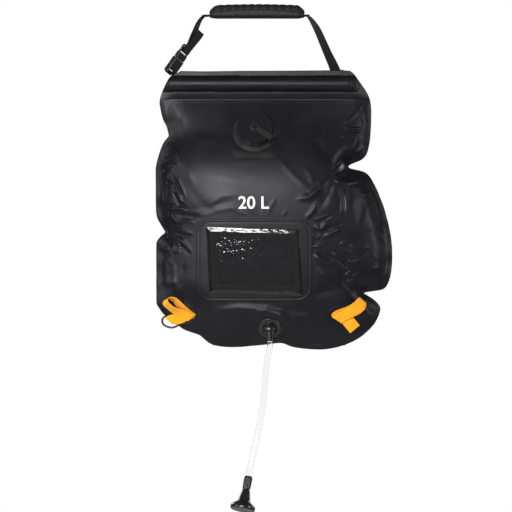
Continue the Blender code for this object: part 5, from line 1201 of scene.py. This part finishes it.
def woven_band(name, stations, thickness, material):
    """A band through stations of (centre, half its width, outward face), its edges rounded."""
    flat = [WEB_WIDTH / 2 * k for k, e in BAND_SECTION]
    flat += [u + 2 * WEB_WIDTH for u in flat[::-1]]
    section = [(k, e * thickness / 2) for k, e in BAND_SECTION]
    section += [(k, -h) for k, h in section[::-1]]
    rows, uvs, run, last = [], [], 0.0, stations[0][0]
    for centre, half, face in stations:
        run += (centre - last).length
        last = centre
        rows.append([centre + half * k + face * h for k, h in section])
        uvs.append([(u, run) for u in flat])
    return lofted(name, np.array(rows), material, np.array(uvs), caps=True)


def ribbon(name, route):
    """A strap along a route of (centre, direction of its width)."""
    sides = [Vector(side).normalized() for centre, side in route]
    fine = smooth_run([centre for centre, side in route], spacing=0.0015)
    stations = []
    for i, (k, t, centre) in enumerate(fine):
        run = (fine[min(i + 1, len(fine) - 1)][2] - fine[max(i - 1, 0)][2]).normalized()
        side = sides[k].lerp(sides[k + 1], t) if t else sides[k]
        side = (side - run * side.dot(run)).normalized()
        stations.append((centre, side * (WEB_WIDTH / 2), run.cross(side)))
    return woven_band(name, stations, WEB, BLACK_WEB)


def turned_side(run, degrees):
    """A direction across a run, turned towards the back by some degrees."""
    angle = math.radians(degrees)
    return run.cross(Y_AXIS).normalized() * math.cos(angle) + Y_AXIS * math.sin(angle)


def untwisted(route):
    """The route with each side turned to agree with the one before."""
    kept = [route[0]]
    for place, side in route[1:]:
        kept.append((place, side if side.dot(kept[-1][1]) >= 0 else -side))
    return kept


def rod_loop(x, tail):
    """Round the rod, from the end of the webbing's short tail to the strap's start."""
    inner = LOOP_RADIUS - WEB - 2 * GAP
    turns = (math.radians(72 + 18.6 * (i - 0.5)) for i in range(1, 16))
    route = [
        (inner, tail), (inner, LOOP_RADIUS * 1.55),
        (inner * 0.90, LOOP_RADIUS * 1.22), (inner * 0.56, LOOP_RADIUS * 1.02),
        *((LOOP_RADIUS * math.cos(a), LOOP_RADIUS * math.sin(a)) for a in turns),
        (LOOP_RADIUS, 0), (LOOP_RADIUS, LOOP_RADIUS * 1.15),
    ]
    return [(Vector((x, y, ROD_Z + up)), X_AXIS) for y, up in route]


RIGHT_STRAP_ROUTE = (
    ((0.0905, 0.0006, 0.0024), 84.0), ((0.0985, 0.002, -0.0075), 70.0), ((0.1062, 0.004, -0.0200), 60.0),
    ((0.1130, 0.006, -0.0345), 56.0), ((0.1250, 0.009, -0.0616), 50.0), ((0.1360, 0.0119, -0.0850), 38.0),
    ((0.1415, 0.0125, -0.1020), 10.0),
)
LEFT_STRAP_ROUTE = (
    ((-0.0955, 0.0016, 0.0016), -84.0), ((-0.1035, 0.0045, -0.0090), -74.0),
    ((-0.1108, 0.0105, -0.0260), -66.0), ((-0.1165, 0.0150, -0.0400), -62.0),
)
BUCKLE_FOOT = (-0.1558, 0.0170, -0.095)
BUCKLE_LEAN, BUCKLE_TURN = math.radians(35.0), math.radians(58.0)
SOCKET_LENGTH, PLUG_BODY_LENGTH = 0.030, 0.0118
LADDER_DEPTH, LADDER_SLOT, LADDER_SLOT_HIGH = 0.0028, 0.0042, 0.0052
LADDER_BAR, LADDER_BAR_END = 0.0028, 0.0032
WEB_BAR, WEB_BAR_DEPTH, WEB_SLOT = 0.003, 0.005, 0.0042


def buckle_frame():
    """The buckle's own axes as a matrix: across it, out of its face and along it."""
    run = Vector((math.sin(BUCKLE_LEAN), 0, math.cos(BUCKLE_LEAN)))
    flat = Vector((math.cos(BUCKLE_LEAN), 0, -math.sin(BUCKLE_LEAN)))
    across = flat * math.cos(BUCKLE_TURN) + Y_AXIS * math.sin(BUCKLE_TURN)
    made = Matrix.Identity(4)
    for column, axis in enumerate((across, run.cross(across), run)):
        made.col[column] = (*axis.normalized(), 0.0)
    made.col[3] = (*BUCKLE_FOOT, 1.0)
    return made


def in_buckle(frame, u, n, v=0.0):
    """A point u along the buckle, n off its back and v across it."""
    return frame @ Vector((v, -n, u))


def main_strap_route():
    """The long strap: from the rod's right end up into the grip."""
    route = rod_loop(LOOP_SLOTS[1], WEB_WIDTH * 1.3)
    places = [(Vector(point), turn) for point, turn in RIGHT_STRAP_ROUTE[::-1]]
    entry = Vector((GRIP_LENGTH / 2, 0, STRAP_LEVEL))
    points = [route[-1][0], *(place for place, turn in places), entry]
    for (place, turn), before, after in zip(places, points, points[2:]):
        route.append((place, turned_side((after - before).normalized(), turn)))
    return untwisted([*route, (entry, Y_AXIS), (Vector((WEB, 0, STRAP_LEVEL)), Y_AXIS)])


def anchor_route(frame):
    """The short strap: from the rod's left end round the bar of the buckle."""
    route = rod_loop(LOOP_SLOTS[0], WEB_WIDTH * 1.02)
    across = frame.to_3x3() @ X_AXIS
    bar = WEB_BAR / 2
    round_bar = WEB_BAR_DEPTH / 2 + 3 * GAP + WEB / 2
    under = -(3 * GAP + WEB / 2)
    near = in_buckle(frame, bar * 0.6, round_bar * 3.5, WEB_WIDTH * 0.2)
    for place, share in ((route[-1][0].lerp(near, 0.5), 0.35), (near, 0.8)):
        route.append((place, (X_AXIS * (1 - share) + across * share).normalized()))
    for u, n in (
        (WEB_BAR, 2.1), (WEB_BAR + WEB_SLOT * 0.25, 1.4), (WEB_BAR + WEB_SLOT * 0.36, 0.9),
        (WEB_BAR + WEB_SLOT * 0.5, 0.0), (WEB_BAR + WEB_SLOT * 0.32, -0.82), (bar, -1),
        (-WEB_SLOT * 0.2, -0.8), (under, 0.0), (under * 1.25, 1.1), (under * 1.6, 2.1),
    ):
        route.append((in_buckle(frame, u, n * round_bar), across))
    return untwisted(route)


def adjuster_route(frame):
    """The adjustable strap: from the grip through the buckle's ladder, with its tail."""
    across = frame.to_3x3() @ X_AXIS
    body_end = SOCKET_LENGTH + GAP * 2 + PLUG_BODY_LENGTH
    bar_low = body_end + LADDER_SLOT
    slot_high = bar_low + LADDER_BAR
    end_low = slot_high + LADDER_SLOT_HIGH
    end = end_low + LADDER_BAR_END
    over = LADDER_DEPTH / 2 + 2 * GAP + WEB / 2
    outer = over + WEB + 2 * GAP
    low_slot, high_slot = (body_end + bar_low) / 2, (slot_high + end_low) / 2
    laced = (
        (end + WEB * 2, over + GAP), (end_low + LADDER_BAR_END / 2, over + GAP), (end_low - WEB, over * 0.8),
        (high_slot, 0.0), (high_slot - WEB * 0.8, -over * 0.75), ((bar_low + slot_high) / 2, -over - GAP),
        (low_slot + WEB * 0.8, -over * 0.75), (low_slot, 0.0), (low_slot + WEB * 0.4, outer * 0.72),
        (low_slot + WEB * 1.9, outer), (high_slot, outer), (end, outer + GAP),
        (end + WEB_WIDTH * 0.5, outer + WEB), (end + WEB_WIDTH * 1.1, outer + WEB * 2),
        (end + WEB_WIDTH * 1.7, outer + WEB * 2),
    )
    entry = Vector((-GRIP_LENGTH / 2, 0, STRAP_LEVEL))
    chain = [entry, *(Vector(point) for point, turn in LEFT_STRAP_ROUTE), in_buckle(frame, *laced[0])]
    route = [(Vector((-WEB, 0, STRAP_LEVEL)), Y_AXIS), (entry, Y_AXIS)]
    for i, (point, turn) in enumerate(LEFT_STRAP_ROUTE, 1):
        route.append((chain[i], turned_side((chain[i - 1] - chain[i + 1]).normalized(), turn)))
    return untwisted([*route, *((in_buckle(frame, u, n), across) for u, n in laced)])


def make_straps():
    frame = buckle_frame()
    for name, route, node in (
        ("strap_right", main_strap_route(), "strap_main"),
        ("strap_left", adjuster_route(frame), "strap_adjust"),
        ("strap_anchor", anchor_route(frame), "anchor_strap"),
    ):
        settle(ribbon(name, route), "handle", node)


make_straps()

# Orange loops at the lower corners

LOOP_WEB = 0.0014
# Stations along each band: its two edges in pixels, then how far each stands off the corner, in millimetres
LOOP_BANDS = {
    "left": (
        ((193.8, 315.2), (188.6, 320.9), 4.4, 3.6), ((189.2, 312.4), (183.4, 320.2), 6.2, 3.6),
        ((184.0, 310.2), (178.2, 317.3), 9.2, 3.2), ((179.0, 308.7), (174.4, 314.4), 13.0, 2.8),
        ((175.0, 307.4), (170.8, 311.7), 16.4, 2.6), ((171.6, 305.3), (167.0, 308.6), 17.8, 2.4),
        ((169.3, 303.2), (164.2, 306.2), 18.4, 2.2), ((168.0, 301.2), (162.8, 303.7), 18.6, 2.0),
        ((167.4, 299.5), (163.8, 300.8), 18.8, 1.8), ((168.6, 298.1), (167.0, 299.8), 19.0, 1.6),
        ((171.2, 297.1), (170.6, 300.4), 19.0, 1.6), ((175.6, 297.8), (173.6, 302.3), 18.4, 1.6),
        ((179.2, 300.3), (176.2, 306.2), 16.8, 1.6), ((183.2, 304.2), (180.6, 309.0), 13.6, 1.6),
        ((187.6, 308.2), (185.6, 311.2), 9.6, 1.6), ((192.0, 311.7), (190.8, 313.6), 5.4, 1.8),
        ((195.6, 314.4), (194.6, 316.2), 3.2, 1.8),
    ),
    "right": (
        ((332.0, 317.0), (341.6, 323.4), 3.6, 3.4), ((336.5, 314.0), (345.0, 321.3), 5.6, 4.4),
        ((341.5, 311.0), (349.3, 318.9), 8.4, 6.2), ((346.3, 308.7), (354.0, 316.7), 11.0, 8.0),
        ((350.7, 306.2), (359.0, 314.2), 13.0, 9.2), ((354.0, 303.3), (363.0, 311.3), 13.6, 9.8),
        ((356.8, 300.4), (365.6, 307.8), 12.6, 9.0), ((359.3, 297.8), (366.3, 303.9), 9.4, 6.6),
        ((358.9, 297.5), (365.3, 303.6), 4.6, 3.4), ((355.8, 300.6), (362.2, 306.6), 2.6, 1.9),
        ((351.6, 304.0), (357.8, 311.0), 2.6, 1.6), ((346.8, 306.6), (352.0, 313.8), 4.0, 1.5),
        ((341.0, 308.7), (345.4, 315.6), 5.0, 1.5), ((336.0, 310.7), (339.4, 316.8), 5.0, 1.5),
        ((332.4, 313.3), (334.4, 317.2), 4.2, 1.5), ((331.2, 315.2), (332.2, 317.4), 3.0, 2.0),
    ),
}
LOOP_TABS = {
    "left": (
        ((165.6, 318.2), (172.4, 324.2), 2.4, 1.2), ((168.4, 315.4), (177.2, 324.5), 2.6, 1.2),
        ((174.0, 314.2), (182.0, 323.2), 1.6, 1.2), ((180.0, 313.4), (187.0, 321.0), 1.2, 1.2),
        ((187.0, 313.2), (190.6, 319.4), 1.2, 1.2), ((193.6, 314.6), (194.4, 317.0), 1.2, 1.2),
    ),
    "right": (
        ((359.8, 325.3), (350.2, 333.2), 1.6, 1.4), ((356.6, 321.4), (346.2, 328.4), 1.6, 1.4),
        ((353.4, 317.4), (342.2, 323.6), 1.4, 1.4), ((349.6, 312.6), (338.6, 319.6), 1.2, 1.2),
    ),
}
PATCH_EDGES = {
    "left": ((181, 301), (188, 303), (193.5, 307), (197.5, 313), (196.5, 319.5), (190.5, 324.0), (183, 325.0),
             (176, 321.4), (170.5, 316.5), (166.8, 311.8), (165.6, 306.6), (169, 302.8), (174.5, 300.8)),
    "right": ((345.7, 303.8), (335.8, 305.2), (329.9, 308.7), (328.6, 314), (331, 320), (337, 325.5),
              (344.0, 329.6), (348.6, 334.3), (354.5, 335.6), (360.0, 332.6), (362.4, 327.4), (361.6, 321),
              (360, 313), (356.4, 306.6), (351.5, 303.9)),
}
EYELET = (
    (167.5, 316.4), (164.6, 316.7), (162.8, 318.4), (162.2, 321.0), (163.0, 323.8), (165.6, 326.0),
    (169.4, 327.3), (173.0, 327.5), (176.4, 326.3), (179.0, 324.3),
)


def corner_point(label, place, lift):
    """A pixel's point at a lift in millimetres off the corner, as the camera sees it."""
    centre = FRAME_PIXELS / 2
    point = at(*place)
    for _ in range(3):
        y = -corner_plane(CORNERS[label], point.x, point.z) - lift / 1000
        near = 1 + y / CAMERA_DISTANCE
        point = at(centre + (place[0] - centre) * near, centre + (place[1] - centre) * near, y)
    return point


def edged_band(name, one, two):
    """An orange band between two edges given as points."""
    pairs = list(zip(smooth_route(one, steps=10), smooth_route(two, steps=10)))
    stations = []
    for i, (a, b) in enumerate(pairs):
        before, after = pairs[max(i - 1, 0)], pairs[min(i + 1, len(pairs) - 1)]
        along = ((after[0] + after[1]) - (before[0] + before[1])).normalized()
        stations.append(((a + b) / 2, (b - a) / 2, along.cross(b - a).normalized()))
    return woven_band(name, stations, LOOP_WEB, ORANGE_WEB)


def closed_outline(points, steps=8):
    """A smooth closed outline in (x, z) through points in pixels."""
    places = [at(*place) for place in points]
    fine = smooth_route([*places[-2:], *places, *places[:2]], steps=steps)
    return np.array([(p.x, p.z) for p in fine[2 * steps:(len(points) + 2) * steps]])


def make_corner(label):
    """The welded patch, the sewn tab and the standing loop of one lower corner."""
    edge = closed_outline(PATCH_EDGES[label])
    patch = welded_patch(f"patch_{label}", edge, edge.mean(0), 0.0038, f"corner_patch_{label}")
    for kind, table in (("loop", LOOP_BANDS), ("tab", LOOP_TABS)):
        one = [corner_point(label, a, PATCH * 1000 + high) for a, b, high, low in table[label]]
        two = [corner_point(label, b, PATCH * 1000 + low) for a, b, high, low in table[label]]
        band = edged_band(f"orange_{kind}_{label}", one, two)
        settle(band, "bag", f"corner_loop_{label}")


for side_name in CORNERS:
    make_corner(side_name)


def make_eyelet():
    """The ring of the left corner's patch that stands past the bag's edge."""
    path = smooth_route([corner_point("left", place, -1.5) for place in EYELET], spacing=0.0015)
    settle(sweep("corner_eyelet", path, (0.0018,), PLASTIC, 16), "bag")


make_eyelet()

# Pieces that keep their CAD shape

for part_material, edge_size, *part_names in (
    (GLOSS, 0.0020, "filler_cap"),
    (SATIN, 0.0006, "filler_neck"),
    (GLOSS, 0.0004, "cap_stud", "outlet_base", "outlet_elbow"),
    (PLASTIC, 0.0004, "buckle_socket", "buckle_plug", "latch_arm_left", "latch_arm_right"),
    (GRAIN, 0.0, "rose_plate"),
    (SEAL, 0.0, "cap_seal", "outlet_seal", "head_seal"),
    (PLASTIC, 0.0, "top_tube"),
):
    for part_name in part_names:
        dress(part_name, part_material, edge_size)

# Shower head and hose

HEAD_START = Vector((-0.014686, -0.040519, -0.801821))
# Millimetres along the head's axis and out from it, round each closed section
COLLAR_SECTION = (
    (0.0, 2.0), (0.0, 6.3), (0.3, 6.75), (1.2, 7.0), (2.7, 7.25), (4, 7.3), (6, 7.3), (9, 7.28), (12, 7.22),
    (15, 7.15), (18, 7.05), (20.1, 6.9), (20.5, 6.6), (22.2, 6.45), (22.7, 6.2), (22.8, 5.8), (22.8, 3.7),
    (23.2, 3.65), (41.4, 3.65), (41.8, 3.3), (41.8, 2.3), (41.0, 2.1),
)
BELL_SECTION = (
    (23.1, 5.1), (23.1, 6.3), (23.4, 6.75), (26, 7.3), (30, 8.15), (35, 9.25), (40, 10.4), (43, 11.2),
    (44.6, 11.9), (45.8, 12.9), (46.7, 14.2), (47.5, 15.8), (48.4, 17.6), (49.5, 19.2), (51.0, 20.5),
    (52.8, 21.25), (54.8, 21.55), (56.6, 21.5), (58.0, 21.25), (58.8, 20.8), (59.2, 20.2), (59.2, 19.85),
    (57.0, 19.75), (56.6, 18.3), (50.6, 18.2), (49.0, 5.1),
)


def turned(name, section, material, rib=None):
    """A turned part on the head's axis. rib(along, turn) is added to the radius."""
    turn = np.linspace(0, 2 * math.pi, 144, endpoint=False)[None, :]
    side = HEAD_AXIS.cross(Y_AXIS).normalized()
    along, out = (np.array(values)[:, None] / 1000 for values in zip(*section))
    if rib is not None:
        out = out + rib(along, turn)
    ways = (
        (along + 0 * turn, HEAD_AXIS),
        (out * np.cos(turn), side),
        (out * np.sin(turn), HEAD_AXIS.cross(side)),
    )
    point = sum((share[..., None] * np.array(way) for share, way in ways), np.array(HEAD_START))
    return lofted(name, point, material, path_ring=True)


def filled(section, spacing):
    """The section's points with more between them, for a part whose radius changes along it."""
    points = []
    for one, two in zip(section, section[1:]):
        steps = max(1, int(math.dist(one, two) / spacing))
        points += [tuple(a + (b - a) * k / steps for a, b in zip(one, two)) for k in range(steps)]
    return [*points, section[-1]]


def collar_rib(along, turn):
    """Twelve flutes round the collar, cut across by fine rings."""
    on = smooth_step((along - 0.0012) / 0.0012) * smooth_step((0.0206 - along) / 0.0008)
    flute = np.clip(1.6 * np.cos(12 * turn), -1, 1) - 1
    knurl = np.abs(np.sin(math.pi * along / 0.0015)) ** 0.5 - 1
    return on * (0.00036 * flute + 0.00013 * knurl)


def make_head():
    collar = turned("fluted_collar", filled(COLLAR_SECTION, 0.25), GLOSS, collar_rib)
    bell = turned("shower_bell", BELL_SECTION, GLOSS)
    settle(collar, "bag", "head_collar")
    settle(bell, "shower_head", "head_bell")
    return collar, bell


HEAD_COLLAR, HEAD_BELL = make_head()
make_hose()

# Grip, printed figure and cap leash


def grip_heights(x):
    """Underside, parting line, top and half width of the grip at each x: it arches and tapers to its ends."""
    far = np.clip((np.abs(x) - 0.070) / 0.0134, 0, 1)
    line = 0.0142 - 0.0060 * (np.abs(x) / 0.078) ** 2
    top = 0.0243 - 0.0018 * (np.abs(x) / 0.075) ** 2 - 0.0100 * far**1.6
    return 0.0002 + 0.0018 * far**2, line, np.maximum(top, line + 0.0012), 1 - 0.30 * far**2


def grip_piece(name, x, y, z, node):
    piece = lofted(name, np.stack((x + 0 * y, y, z), -1), GRIP, caps=True)
    return settle(piece, "handle", node)


def make_grip():
    """The padded grip: a smooth band below, and ribs in chevrons above its arched parting line."""
    x = np.linspace(-0.0834, 0.0834, 419)[:, None]
    under, line, top, narrow = grip_heights(x)
    share = np.array([0, 0.4, 0.75, 0.88, 0.96, 1.0, 1.0, 0.995, 0.97, 0.93, 0.86, 0.4])[None, :]
    lift = np.array([0, 0, 0.01, 0.06, 0.17, 0.34, 0.60, 0.80, 0.93, 0.985, 1.0, 0.96])[None, :]
    y, z = 0.0148 * share * narrow, under + (line - under) * lift
    grip_piece("grip_band", x, np.hstack((y, -y[:, :0:-1])), np.hstack((z, z[:, :0:-1])), "grip_base")
    turn = np.linspace(-0.10, math.pi + 0.10, 75)[None, :]
    y = 0.0128 * narrow * np.sign(np.cos(turn)) * np.abs(np.cos(turn)) ** 0.75
    rise = np.sign(np.sin(turn)) * np.abs(np.sin(turn)) ** 0.8
    z = line - 0.0006 + (top - line + 0.0006) * rise
    rib = np.abs(np.sin(math.pi * (x + 0.62 * np.abs(y)) / 0.0136)) ** 0.55
    cross = np.abs(np.sin(math.pi * (x - 0.62 * np.abs(y)) / 0.0068)) ** 0.5
    fade = smooth_step((0.0775 - np.abs(x)) / 0.004) * smooth_step((rise - 0.10) / 0.25)
    depth = fade * (0.0017 * (rib - 1) + 0.00035 * (cross - 1))
    grip_piece("grip_ribs", x, y + depth * np.cos(turn), z + depth * np.sin(turn), "grip_top")


make_grip()


def make_capacity():
    """The capacity figure printed in white on the front, laid on the sheet as it curves."""
    curve = bpy.data.curves.new("capacity_print", "FONT")
    curve.body = "20 L"
    curve.size = 0.0300
    curve.align_x = "CENTER"
    curve.offset = 0.0004
    holder = bpy.data.objects.new("capacity_curve", curve)
    mesh = bpy.data.meshes.new_from_object(holder)
    bpy.data.objects.remove(holder)
    bpy.data.curves.remove(curve)
    grown = bmesh.new()
    grown.from_mesh(mesh)
    bmesh.ops.triangulate(grown, faces=grown.faces)
    for _ in range(5):
        long_edges = [edge for edge in grown.edges if edge.calc_length() > 0.0014]
        if long_edges:
            bmesh.ops.subdivide_edges(grown, edges=long_edges, cuts=1)
            bmesh.ops.triangulate(grown, faces=grown.faces)
    flat = np.array([vertex.co[:] for vertex in grown.verts])
    centre = at(253.5, 203.5)
    x = flat[:, 0] + centre.x
    z = flat[:, 1] - (flat[:, 1].max() + flat[:, 1].min()) / 2 + centre.z
    placed = on_front(x, z, 0.00012)
    faces = [[vertex.index for vertex in face.verts] for face in grown.faces]
    grown.free()
    bpy.data.meshes.remove(mesh)
    settle(add_mesh("capacity_figure", placed, faces, PRINT), "bag")


make_capacity()


def make_leash():
    """The cap's rubber strap: the CAD form with its edges rounded."""
    mesh = NODES["cap_leash"].data.copy()
    mesh.materials.clear()
    mesh.materials.append(SEAL)
    grown = bmesh.new()
    grown.from_mesh(mesh)
    bmesh.ops.remove_doubles(grown, verts=grown.verts, dist=0.00002)
    sharp = [e for e in grown.edges if len(e.link_faces) == 2 and e.calc_face_angle(0) > math.radians(35)]
    edges = dict(offset=0.00045, segments=3, profile=0.5, affect="EDGES", clamp_overlap=True)
    bmesh.ops.bevel(grown, geom=sharp, **edges)
    grown.to_mesh(mesh)
    grown.free()
    leash = add_object("leash_strap", mesh)
    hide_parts("cap_leash")
    return leash


LEASH = make_leash()
# The way that the cap moves out of its neck
OUT = Vector((0, -math.cos(math.radians(NECK_TILT)), math.sin(math.radians(NECK_TILT))))
middle = Vector(NODES["cap_leash"].data.vertices[0].co)
middle -= OUT * middle.dot(OUT)
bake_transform(LEASH)
